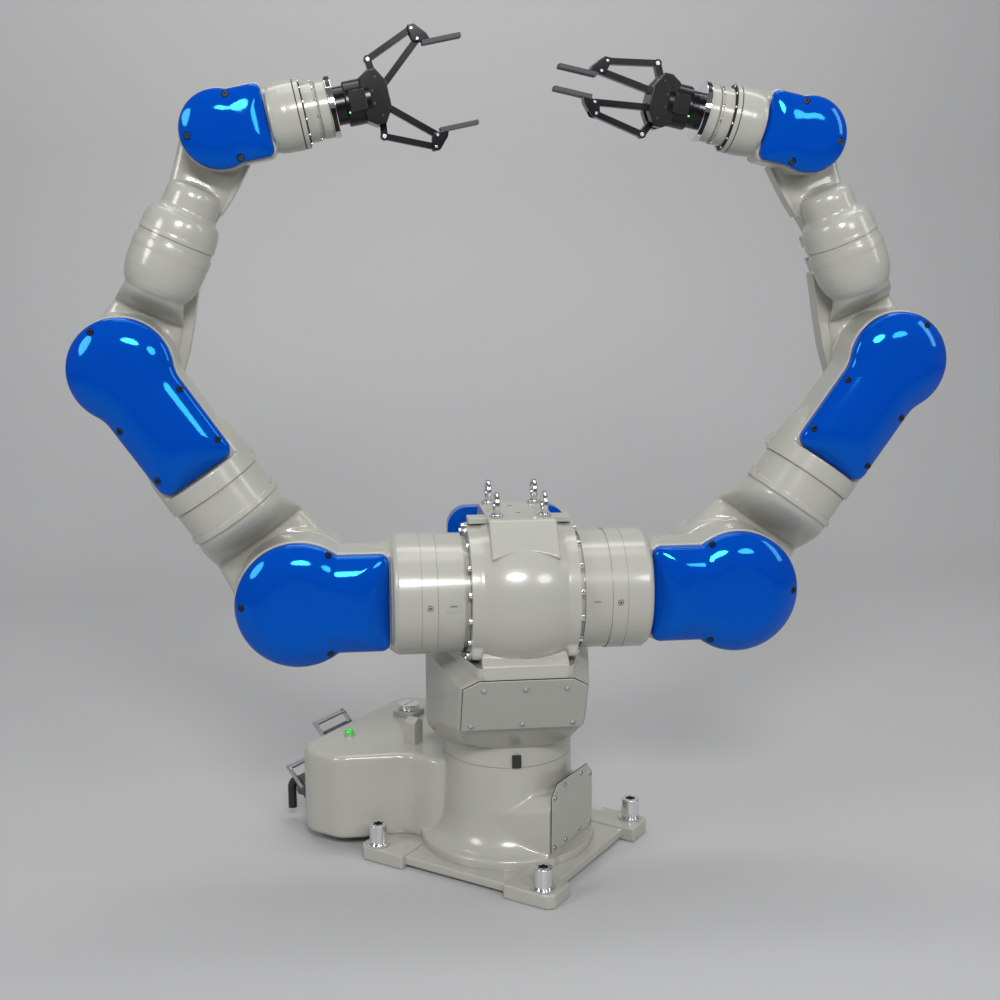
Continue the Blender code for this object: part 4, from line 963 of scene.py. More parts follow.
    def fittings(self, wardrobe: Wardrobe) -> None:
        """Dress the status lamp and the round screwed cap.

        Args:
            wardrobe: Takes the finished pieces.
        """
        x, y = self.lamp_place
        high = self.box_high + SEAM
        dome = [(0.0102, 0.002)]
        dome += [(self.lamp_radius * c, 0.004 + self.lamp_radius * s) for c, s in Draw.turns(*range(0, 90, 12))]
        lens = Bench.lathe(dome, steps=48)
        Bench.move(lens, x, y, high)
        wardrobe.wear(self._seat(lens), "status_lamp_lens", "base", GREEN_LENS, ["status_lamp"])
        rim = Bench.lathe([(0.011, 0.0), (0.011, 0.004)], steps=48)
        Bench.soften(rim, 0.0008)
        Bench.move(rim, x, y, high)
        wardrobe.wear(self._seat(rim), "status_lamp_rim", "base", CHROME)
        x, y = self.cap_place
        high += self.cap_rise
        cap = Bench.lathe([(0.02, 0.0), (0.02, 0.005), (0.022, 0.0056), (0.022, 0.0125)], steps=64)
        Bench.soften(cap, 0.0009, 2, 25.0)
        groove = Bench.block((-0.0016, -0.017, 0.0108), (0.0016, 0.017, 0.02))
        Bench.shape(cap, Cut.AWAY, groove)
        Bench.move(cap, x, y, high)
        wardrobe.wear(self._seat(cap), "maintenance_cap_turned", "base", CHROME, ["maintenance_cap"])

    def plugs(self, wardrobe: Wardrobe) -> None:
        """Dress the two plug hoods, their levers and the moulded outlet.

        Args:
            wardrobe: Takes the finished pieces.
        """
        seat = self.plug_seat - SEAM
        for label, (wide, tall), (y, z) in (
            ("upper", (0.088, 0.048), (-0.021, 0.1527)), ("lower", (0.0545, 0.046), (-0.1235, 0.088)),
        ):
            plug = f"connector_{label}"
            latch = f"latch_{label}"
            hood = Bench.move(self.hood(wide, tall), seat, y, z)
            wardrobe.wear(self._seat(hood), f"{plug}_hood", "base", HOOD_PLASTIC, [plug])
            lever = self.lever(wide)
            Bench.move(lever, seat - 0.01, y, z)
            wardrobe.wear(self._seat(lever), f"{latch}_lever", latch, STEEL, [latch])
            if label == "lower":
                outlet = self.outlet()
                Bench.move(outlet, seat - self.plug_depth - SEAM, y, z)
                wardrobe.wear(self._seat(outlet), "cable_outlet_boot", "base", BLACK_RUBBER, ["cable_outlet"])

    def hood(self, wide: float, tall: float) -> Piece:
        """Return a plug hood on its flange, with finger ribs and side pegs.

        Args:
            wide: Width of the hood.
            tall: Height of the hood.

        Returns:
            The hood with its ribs and pegs.
        """
        rows = [
            (0.0, 0.0), (0.0, -0.0115), (0.003, -0.013), (0.003, -0.0285), (0.005, -0.0325),
            (0.0085, -self.plug_depth),
        ]
        rings = []
        for inset, x in rows:
            half = wide / 2.0 - inset
            high = tall / 2.0 - inset
            corners = [(-half, -high), (half, -high), (half, high), (-half, high)]
            rings.append([(x, y, z) for y, z in Draw.rounded(corners, 0.006, 5)])
        body = Bench.stack(rings)
        Bench.soften(body, 0.0006, 2, 40.0)
        parts = [body]
        for i in range(5):
            x = -0.016 - 0.0024 * i
            half = wide / 2.0 - 0.0028
            high = tall * 0.25
            parts.append(Bench.block((x - 0.0006, -half, -high), (x + 0.0006, half, high), 0.0002))
        peg = Bench.lathe([(0.003, -wide / 2.0 - 0.006), (0.003, wide / 2.0 + 0.006)], Axis.Y, 24)
        Bench.soften(peg, 0.0005)
        Bench.move(peg, -0.01, 0.0, 0.0)
        return Bench.join(*parts, peg)

    def lever(self, wide: float) -> Piece:
        """Return a U-shaped locking lever round its pegs.

        Args:
            wide: Width of its hood.

        Returns:
            The lever.
        """
        half = wide / 2.0 + 0.0015
        thick = 0.003
        tip = (self.lever_reach * math.cos(self.lever_lean), self.lever_reach * math.sin(self.lever_lean))
        parts = []
        for sign in (-1, 1):
            low, high = sorted((sign * half, sign * (half + thick)))
            arm = Bench.slab(Draw.bar((0.0, 0.0), tip, 0.0045), low, high, Axis.Y)
            hole = Bench.lathe([(0.0033, low - 0.002), (0.0033, high + 0.002)], Axis.Y, 24)
            Bench.shape(arm, Cut.AWAY, hole)
            Bench.soften(arm, 0.0005)
            parts.append(arm)
        grip = Bench.block(
            (tip[0] - 0.004, -half - thick * 0.5, tip[1] - 0.002),
            (tip[0] + 0.01, half + thick * 0.5, tip[1] + 0.0015), 0.0006,
        )
        return Bench.join(*parts, grip)

    def outlet(self) -> Piece:
        """Return the moulded elbow that leaves the lower hood and points down.

        Returns:
            The ribbed elbow.
        """
        rings = []
        bend = self.outlet_bend
        run = self.outlet_run
        stations = [(0.0, 0.0, 180.0), (-run + bend + 0.001, 0.0, 180.0)]
        for degrees in range(8, 90, 8):
            angle = math.radians(degrees)
            spot = (-run + bend - bend * math.sin(angle), -bend + bend * math.cos(angle))
            stations.append((*spot, 180.0 + degrees))
        stations.append((-run, -bend, 270.0))
        for i in range(12):
            stations.append((-run, -bend - 0.0035 * (i + 1), 270.0))
        for i, (x, z, heading) in enumerate(stations):
            angle = math.radians(heading)
            across = Vector((-math.sin(angle), 0.0, math.cos(angle)))
            radius = self.outlet_radius if i < 4 or i % 2 else self.outlet_radius - 0.001
            ring = []
            for k in range(32):
                spin = 2.0 * math.pi * k / 32
                offset = across * (radius * math.cos(spin)) + Vector((0.0, radius * math.sin(spin), 0.0))
                ring.append((x + offset.x, offset.y, z + offset.z))
            rings.append(ring)
        return Bench.stack(rings)


@dataclass
class Torso:
    """Leaning torso: waist ring, lower housing, barrel, top and its covers."""

    axis_y: float = -0.1475
    axis_z: float = 0.55
    half: float = 0.156
    plate_half: float = 0.109
    seat_low: Point2 = (0.202, 0.3137)
    seat_high: Point2 = (0.2555, 0.4187)
    plate_cut: Point2 = (0.027, 0.0175)
    waist: float = 0.123
    ring_top: float = 0.2215
    ring_front: float = 0.2417
    wall_low: float = 0.2687
    rear: float = 0.135
    rear_half: float = 0.125
    rear_top: float = 0.4
    ledge: float = 0.4397
    neck_half: float = 0.076
    neck_top: float = 0.4537
    back: float = 0.0025
    flange_face: float = 0.0935
    flange_radius: float = 0.1235
    flange_rim: float = 0.021
    bulge: float = 0.137
    top: float = 0.6897
    top_half: float = 0.059
    plate_thick: float = 0.004
    rear_cover_half: float = 0.112
    rear_cover_low: float = 0.477
    rear_cover_high: float = 0.6727
    rear_cover_deep: float = 0.04
    rear_cover_edge: float = 0.014
    rear_cover_corner: float = 0.038
    bolt_circle: float = 0.1164
    bolt_count: int = 16
    eye_x: float = 0.042
    eye_rows: Point2 = (-0.1735, -0.0495)
    eye_high: float = 0.0225
    voxel: float = 0.0026

    def build(self, wardrobe: Wardrobe) -> None:
        """Model and dress the torso.

        Args:
            wardrobe: Takes the finished pieces.
        """
        wardrobe.wear(self.casting(), "torso_shell", "torso", GREY_PAINT, ["torso_housing"], 50.0)
        wardrobe.wear(self.front_plate(), "torso_front_plate", "torso", GREY_PLATE, ["torso_front_cover"])
        # The thin dark sheet round the front plate is a painted shadow line in the gap at its edge.
        wardrobe.wear(self.front_shadow_gap(), "torso_front_shadow_gap", "torso", PAINTED_SHADE)
        wardrobe.wear(self.front_screws(), "torso_front_screws", "torso", STEEL)
        wardrobe.wear(self.rear_dish(), "torso_rear_dish", "torso", BLUE_PAINT, ["torso_rear_cover"])
        wardrobe.wear(self.rear_screws(), "torso_rear_screws", "torso", BLACK_SCREW)
        wardrobe.wear(self.flange_bolts(), "torso_flange_bolts", "torso", CHROME)
        wardrobe.wear(self.stop(), "travel_stop_block", "torso", BLACK_RUBBER, ["travel_stop"])
        # Two dark marks on the top plate are painted shade for its slots.
        wardrobe.wear(self.slot_shades(), "torso_top_slot_shades", "torso", PAINTED_SHADE)
        self.eyes(wardrobe)

    def plan(self, front_half: float, front: float, side_half: float) -> list[Point2]:
        """Return the (x, y) plan of the lower housing, widest at the waist axis.

        Args:
            front_half: Half width of the front edge.
            front: How far forward that edge lies.
            side_half: Half width at the waist axis.

        Returns:
            The outline, with points along its straight runs.
        """
        share = side_half / self.half
        rear_half = self.rear_half * share
        rear = self.rear * share
        corners = [
            (-front_half, -front), (front_half, -front), (side_half, 0.0),
            (rear_half, rear), (-rear_half, rear), (-side_half, 0.0),
        ]
        outline = Draw.rounded(corners, 0.02, 6)
        points = []
        for i, point in enumerate(outline):
            points.append(point)
            if (i + 1) % 7 == 0:
                here = Vector(point)
                there = Vector(outline[(i + 1) % len(outline)])
                points += [tuple(here.lerp(there, (k + 1) / 7.0)) for k in range(6)]
        return points

    @staticmethod
    def tilted(outline: Sequence[Point2], z_front: float, z_side: float, z_rear: float) -> Ring:
        """Lift a plan so that it slopes from its front to its sides and rear.

        Args:
            outline: Plan in (x, y).
            z_front: Height at the front.
            z_side: Height at the sides.
            z_rear: Height at the rear.

        Returns:
            The lifted section.
        """
        front = -min(y for _, y in outline)
        rear = max(y for _, y in outline)
        section = []
        for x, y in outline:
            if y < 0.0:
                z = z_side + (z_front - z_side) * -y / front
            else:
                z = z_side + (z_rear - z_side) * y / rear
            section.append((x, y, z))
        return section

    def lower(self) -> Piece:
        """Return the bowl that grows from the waist ring into the leaning box.

        Returns:
            The closed bowl and box.
        """
        low_y, low_z = self.seat_low
        high_y, high_z = self.seat_high
        half = self.plate_half + 0.003
        wide = self.plan(half, low_y, self.half)
        inner = self.waist - 0.002
        circle = [tuple(Vector(point).normalized() * inner) for point in wide]
        rings = [self.tilted(circle, self.ring_front, self.ring_top, self.ring_top)]
        for side, z_side, share in ((0.139, 0.2347, 0.33), (0.152, 0.2517, 0.67)):
            front = self.waist + (low_y - self.waist) * share
            z_front = self.ring_front + (low_z - self.ring_front) * share
            plan = self.plan(half * (0.75 + 0.25 * share), front, side)
            rings.append(self.tilted(plan, z_front, z_side, z_side))
        rings.append(self.tilted(wide, low_z, self.wall_low, self.wall_low))
        bend = high_z - self.plate_cut[1]
        reach = low_y + (high_y - low_y) * (bend - low_z) / (high_z - low_z)
        rings.append(self.tilted(self.plan(half, reach, self.half), bend, bend, self.rear_top - 0.02))
        upper = self.plan(0.082, high_y, self.half - 0.004)
        rings.append(self.tilted(upper, high_z, self.ledge - 0.006, self.rear_top - 0.004))
        rings.append(self.tilted(upper, self.ledge, self.ledge, self.rear_top))
        return Bench.stack(rings)

    def barrel(self) -> Piece:
        """Return the bulged barrel between its two flanges.

        Returns:
            The barrel, in place.
        """
        inner = self.flange_face - self.flange_rim
        rise = self.bulge - self.flange_radius
        sphere = (inner ** 2 + rise ** 2) / (2.0 * rise)
        profile = [(self.flange_radius, -self.flange_face)]
        for i in range(-12, 13):
            x = inner * i / 12
            profile.append((self.bulge - sphere + math.sqrt(sphere ** 2 - x ** 2), x))
        profile.append((self.flange_radius, self.flange_face))
        item = Bench.lathe(profile, Axis.X, 96)
        Bench.move(item, 0.0, self.axis_y, self.axis_z)
        return item

    def casting(self) -> Piece:
        """Return the whole torso casting with its crisp rims.

        Returns:
            The joined shells.
        """
        seat_y = self.seat_high[0]
        side = self.neck_half
        levels = (
            (self.seat_high[1] - 0.012, seat_y - 0.0006), (self.ledge + 0.003, seat_y - 0.0006),
            (self.neck_top, seat_y - 0.016), (self.axis_z, 0.1475 + 0.054),
        )
        neck = Bench.stack([
            [(-side, -reach, z), (side, -reach, z), (side, self.back - 0.003, z), (-side, self.back - 0.003, z)]
            for z, reach in levels
        ])
        wedge = []
        for i in range(-7, 8):
            share = (i / 7.0) ** 2
            x = self.top_half * i / 7.0
            wedge.append([
                (x, -0.2485 - 0.009 * share, 0.6427 - 0.011 * share), (x, -0.2185, 0.5927),
                (x, 0.0005, self.axis_z - 0.06), (x, 0.0005, 0.6477),
                (x, -0.034, self.top), (x, -0.2075, self.top),
            ])
        top = Bench.stack(wedge)
        Bench.soften(top, 0.0035, 3, 24.0)
        back = [
            (self.axis_y, self.axis_z - 0.06), (self.back + 0.003, self.axis_z - 0.06),
            (self.back + 0.003, 0.6377), (-0.044, self.top - 0.022), (self.axis_y, self.top - 0.02),
        ]
        block = Bench.slab(back, -side, side, Axis.X)
        heel = Bench.slab([
            (self.back - 0.04, self.ledge - 0.02), (self.rear - 0.02, self.rear_top - 0.01),
            (self.rear - 0.022, self.rear_top + 0.01), (0.055, 0.465), (self.back - 0.04, 0.467),
        ], -side + 0.002, side - 0.002, Axis.X)
        lobes = []
        inner = self.flange_face - self.flange_rim
        for sign in (-1, 1):
            low, high = sorted((sign * (inner + 0.002), sign * (self.flange_face - 0.001)))
            for y_sign in (-1, 1):
                lobe = Bench.lathe([(0.013, low), (0.013, high)], Axis.X, 40)
                reach = (self.flange_radius - 0.001) * math.sqrt(0.5)
                Bench.move(lobe, 0.0, self.axis_y + y_sign * reach, self.axis_z - reach)
                lobes.append(lobe)
        lower = self.lower()
        Bench.soften(lower, 0.0035, 3, 24.0)
        Bench.soften(neck, 0.003, 3, 24.0)
        Bench.shape(lower, Cut.AWAY, self.plate_seat())
        Bench.shape(neck, Cut.AWAY, self.plate_seat())
        body = Bench.cast(self.voxel, 8, self.barrel(), self.inner_neck(), block, heel, *lobes)
        flat_back = Bench.block((-0.2, self.back, 0.473), (0.2, self.back + 0.2, self.top))
        Bench.shape(body, Cut.AWAY, flat_back)
        return Bench.join(body, lower, neck, top, *self.rims(), *self.ears())

    def inner_neck(self) -> Piece:
        """Return a slightly smaller neck that melts softly into the barrel.

        Returns:
            The neck.
        """
        side = self.neck_half - 0.0015
        low = [(-side, -0.236, 0.43), (side, -0.236, 0.43), (side, -0.004, 0.43), (-side, -0.004, 0.43)]
        return Bench.stack([low, [(x, y * 0.86, 0.5) for x, y, _ in low]])

    def plate_seat(self) -> Piece:
        """Return the block that cuts the slanted seat of the front plate.

        Returns:
            The cutting block.
        """
        low_y, low_z = self.seat_low
        run = math.hypot(self.seat_high[0] - low_y, self.seat_high[1] - low_z)
        seat = Bench.block((-0.3, -0.05, -0.004), (0.3, 0.0, run + 0.0005))
        seat.data.transform(self.plate_frame())
        return seat

    def rims(self) -> list[Piece]:
        """Return the turned waist ring and the two turned flange rims.

        Returns:
            The ring and the rims.
        """
        ring = Bench.lathe(
            [(self.waist, 0.205), (self.waist, 0.244), (self.waist - 0.004, 0.246)], steps=128
        )
        Bench.soften(ring, 0.0008)
        parts = [ring]
        for sign in (-1, 1):
            low, high = sorted((sign * (self.flange_face - self.flange_rim + 0.001), sign * self.flange_face))
            rim = Bench.lathe([(self.flange_radius, low), (self.flange_radius, high)], Axis.X, 128)
            Bench.soften(rim, 0.0012)
            Bench.move(rim, 0.0, self.axis_y, self.axis_z)
            parts.append(rim)
        return parts

    def ears(self) -> list[Piece]:
        """Return the two tabs beside the top plate.

        Returns:
            The tabs.
        """
        parts = []
        high = self.top - 0.003
        for sign in (-1, 1):
            low, far = sorted((sign * (self.top_half - 0.01), sign * 0.091))
            parts.append(Bench.block((low, -0.1715, high - 0.01), (far, -0.1375, high), 0.0012))
        return parts

    def plate_frame(self) -> Matrix:
        """Return the matrix that lays the front plate's drawing on its seat.

        Returns:
            The matrix.
        """
        low_y, low_z = self.seat_low
        high_y, high_z = self.seat_high
        lean = math.atan2(high_y - low_y, high_z - low_z)
        return Matrix.Translation((0.0, -low_y, low_z)) @ Matrix.Rotation(lean, 4, "X")

    def front_outline(self, grow: float) -> list[Point2]:
        """Return the front plate's outline with its two cut corners.

        Args:
            grow: How far it is drawn outside the plate's own edge.

        Returns:
            The (x, height) corners on the slanted seat.
        """
        half = self.plate_half + grow
        cut_x, cut_z = self.plate_cut
        high = math.hypot(self.seat_high[0] - self.seat_low[0], self.seat_high[1] - self.seat_low[1])
        return [
            (-half, -grow), (half, -grow), (half, high - cut_z), (half - cut_x, high + grow),
            (cut_x - half, high + grow), (-half, high - cut_z),
        ]

    def front_plate(self) -> Piece:
        """Return the bolted plate on the slanted front."""
        plate = Bench.slab(self.front_outline(0.0), -SEAM - self.plate_thick, -SEAM - 0.001, Axis.Y, 0.0008)
        return Bench.lay(plate, self.plate_frame())

    def front_shadow_gap(self) -> Piece:
        """Return the thin dark sheet that shows round the front plate: a painted shadow line in the gap at its
        edge.
        """
        shadow_gap = Bench.slab(self.front_outline(0.0009), -SEAM - 0.0012, -SEAM, Axis.Y)
        return Bench.lay(shadow_gap, self.plate_frame())

    def front_screws(self) -> Piece:
        """Return the six screws of the front plate.

        Returns:
            The joined screws.
        """
        lay = self.plate_frame()
        spots = [
            (-0.0725, 0.098), (0.0, 0.098), (0.0725, 0.0975),
            (-0.0915, 0.0115), (0.0, 0.0115), (0.0905, 0.0115),
        ]
        places = [lay @ facing((x, -SEAM - self.plate_thick, z), (0.0, -1.0, 0.0)) for x, z in spots]
        return Bench.spread(Hardware.button_screw(0.0052, 0.0032), places)

    def rear_dish(self) -> Piece:
        """Return the dished cover on the back.

        Returns:
            The cover.
        """
        half = self.rear_cover_half
        low = self.rear_cover_low
        high = self.rear_cover_high
        seat = self.back + SEAM
        back = seat + self.rear_cover_deep
        edge = self.rear_cover_edge
        rows = [(0.0, seat)]
        rows += [
            (edge * (1.0 - c), back - edge * (1.0 - s))
            for c, s in Draw.turns(0.0, 18.0, 36.0, 54.0, 72.0, 90.0)
        ]
        rings = []
        for inset, y in rows:
            corners = [
                (-half + inset, low + inset), (half - inset, low + inset),
                (half - inset, high - inset), (-half + inset, high - inset),
            ]
            rings.append([(x, y, z) for x, z in Draw.rounded(corners, self.rear_cover_corner - inset, 8)])
        return Bench.stack(rings)

    def rear_screws(self) -> Piece:
        """Return the four screws of the rear cover.

        Returns:
            The joined screws.
        """
        face = self.back + SEAM + self.rear_cover_deep
        spots = [(x, z) for x in (-0.085, 0.085) for z in (0.503, 0.646)]
        places = [facing((x, face - 0.0004, z), (0.0, 1.0, 0.0)) for x, z in spots]
        return Bench.spread(Hardware.socket_screw(0.0048, 0.002), places)

    def flange_bolts(self) -> Piece:
        """Return the ring of cap screws on each shoulder flange.

        Returns:
            The joined screws.
        """
        places = []
        for sign in (-1, 1):
            for i in range(self.bolt_count):
                angle = math.radians(360.0 / self.bolt_count * (i + 0.5))
                spot = (
                    sign * (self.flange_face - 0.0002),
                    self.axis_y + self.bolt_circle * math.cos(angle),
                    self.axis_z + self.bolt_circle * math.sin(angle),
                )
                places.append(facing(spot, (sign, 0.0, 0.0)))
        return Bench.spread(Hardware.socket_screw(0.0052, 0.006), places)

    def stop(self) -> Piece:
        """Return the dark block on the waist ring.

        Returns:
            The block.
        """
        half = 0.0085
        seat = -(self.waist + SEAM)
        corners = [(-half, 0.2065), (half, 0.2065), (half, 0.2305), (-half, 0.2305)]
        block = Bench.slab(Draw.rounded(corners, 0.002, 4), seat - 0.006, seat, Axis.Y, 0.0008)
        block.data.transform(Matrix.Rotation(math.radians(0.7), 4, "Z"))
        return block

    def slot_shades(self) -> Piece:
        """Return the small dark marks in the top plate: painted shade standing in for its slots.

        Returns:
            The joined marks.
        """
        parts = []
        for x, y in ((-0.006, -0.079), (0.0, -0.145)):
            outline = Draw.bar((x - 0.003, y), (x + 0.003, y), 0.0011, 6)
            parts.append(Bench.slab(outline, self.top - 0.002, self.top + 0.0003))
        return Bench.join(*parts)

    def eyes(self, wardrobe: Wardrobe) -> None:
        """Dress the four lifting eyes.

        Args:
            wardrobe: Takes the finished pieces.
        """
        spots = [(x, y) for y in self.eye_rows for x in (-self.eye_x, self.eye_x)]
        Bench.deselect()
        bpy.ops.mesh.primitive_torus_add(
            major_radius=0.0175, minor_radius=0.0047, major_segments=48, minor_segments=16
        )
        ring = bpy.context.object
        ring.data.transform(Matrix.Rotation(math.radians(90.0), 4, "Y"))
        Bench.move(ring, 0.0, 0.0, self.eye_high)
        neck = Bench.lathe([(0.0098, 0.002), (0.006, 0.0075)], steps=40)
        eye = Bench.cast(0.0008, 3, ring, neck)
        collar = Bench.lathe([(0.0125, 0.0), (0.0125, 0.0042)], steps=48)
        Bench.soften(collar, 0.0009)
        model = Bench.join(eye, collar)
        for number, (x, y) in enumerate(spots, start=1):
            copy = Bench.twin(model, Matrix.Translation((x, y, self.top + SEAM)))
            name = f"eyebolt_{number}"
            wardrobe.wear(copy, f"{name}_forged", "torso", CHROME, [name])
        bpy.data.objects.remove(model, do_unlink=True)


@dataclass(frozen=True)
class JointCover:
    """Sizes of one blue cover and the keyhole casting behind it."""

    disc: float
    half: float
    tail: float
    corner: float
    fillet: float
    split: float
    depth: float
    crown: float
    spread: float
    plane: float
    way: int
    screws: tuple[Point2, ...]

    def outline(self, inset: float = 0.0) -> list[Point2]:
        """Return the (x, z) keyhole: a disc with a square tail.

        Args:
            inset: How far the outline is drawn in from the cover's edge.

        Returns:
            The closed outline.
        """
        radius = self.disc - inset
        half = self.half - inset
        tail = self.tail - inset
        corner = min(self.corner + 0.45 * max(inset, 0.0), half * 0.95)
        fillet = self.fillet + inset
        back = math.sqrt((radius + fillet) ** 2 - (half + fillet) ** 2)
        lean = math.degrees(math.atan2(half + fillet, -back))
        points = Draw.arc((0.0, 0.0), radius, -lean, lean, 60)
        points += Draw.arc((-back, half + fillet), fillet, lean + 180.0, 270.0, 6)[1:]
        points += Draw.arc((-tail + corner, half - corner), corner, 90.0, 180.0, 8)
        points += Draw.arc((-tail + corner, corner - half), corner, 180.0, 270.0, 8)
        points += Draw.arc((-back, -half - fillet), fillet, 90.0, 180.0 - lean, 6)[:-1]
        return [(-self.way * x, z) for x, z in points]

    def drop(self, inset: float) -> float:
        """Return how far the domed face lies behind its crown at an inset."""
        share = max(1.0 - inset / self.spread, 0.0)
        return self.crown * share ** 2.2

    def dish(self) -> Piece:
        """Return the domed cover with its soft rim and its screw pockets.

        Returns:
            The cover.
        """
        front = -(self.split + self.depth)
        rows = [(0.0, -(self.split + SEAM)), (0.0, front + self.drop(0.0) + 0.0035)]
        rows += [(0.0008, front + self.drop(0.0) + 0.0014), (0.0024, front + self.drop(0.0016) + 0.0004)]
        rows += [(self.spread * i / 14, front + self.drop(self.spread * i / 14)) for i in range(1, 15)]
        item = Bench.stack([[(x, y, z) for x, z in self.outline(inset)] for inset, y in rows])
        tools = []
        for x, z in self.screws:
            floor = self.pocket(x, z)
            tool = Bench.lathe([(0.0062, front - 0.01), (0.0062, floor)], Axis.Y, 32)
            Bench.move(tool, x, 0.0, z)
            tools.append(tool)
        return Bench.shape(item, Cut.AWAY, *tools)

    def pocket(self, x: float, z: float) -> float:
        """Return the floor of the pocket at a screw, below the face around it."""
        inset = min(math.dist((x, z), point) for point in self.outline())
        return -(self.split + self.depth) + self.drop(inset) + 0.0055

    def pins(self) -> Piece:
        """Return the screws that stand in the pockets."""
        places = [facing((x, self.pocket(x, z) - 0.0001, z), (0.0, -1.0, 0.0)) for x, z in self.screws]
        return Bench.spread(Hardware.socket_screw(0.005, 0.0046), places)

    def slab(self) -> Piece:
        """Return the keyhole casting behind the cover."""
        rows = ((0.0, -self.split), (-0.0025, -self.split + 0.0025), (-0.0025, self.plane))
        return Bench.stack([[(x, y, z) for x, z in self.outline(inset)] for inset, y in rows])

    def seat(self) -> Piece:
        """Return the block in front of the split plane that the cover fills."""
        low, high = sorted((self.way * (self.tail + 0.0025), -0.2 * self.way))
        return Bench.block((low, -0.3, -0.3), (high, -self.split, 0.3))


SHOULDER_COVER = JointCover(
    0.108, 0.0853, 0.154, 0.015, 0.006, 0.05, 0.04, 0.024, 0.06, 0.031, -1,
    ((-0.0523, 0.0896), (0.0969, 0.003), (-0.0521, -0.083)),
)
ELBOW_COVER = JointCover(
    0.086, 0.07, 0.2145, 0.02, 0.06, 0.046, 0.036, 0.022, 0.058, 0.03, -1,
    ((0.0762, 0.0012), (-0.0787, 0.0621), (-0.0785, -0.0588), (-0.1804, 0.0624), (-0.1796, -0.0593)),
)
WRIST_COVER = JointCover(
    0.0635, 0.0585, 0.079, 0.012, 0.01, 0.033, 0.026, 0.014, 0.044, 0.029, 1,
    ((0.023, -0.0499), (-0.0509, 0.0013), (0.0232, 0.0512)),
)


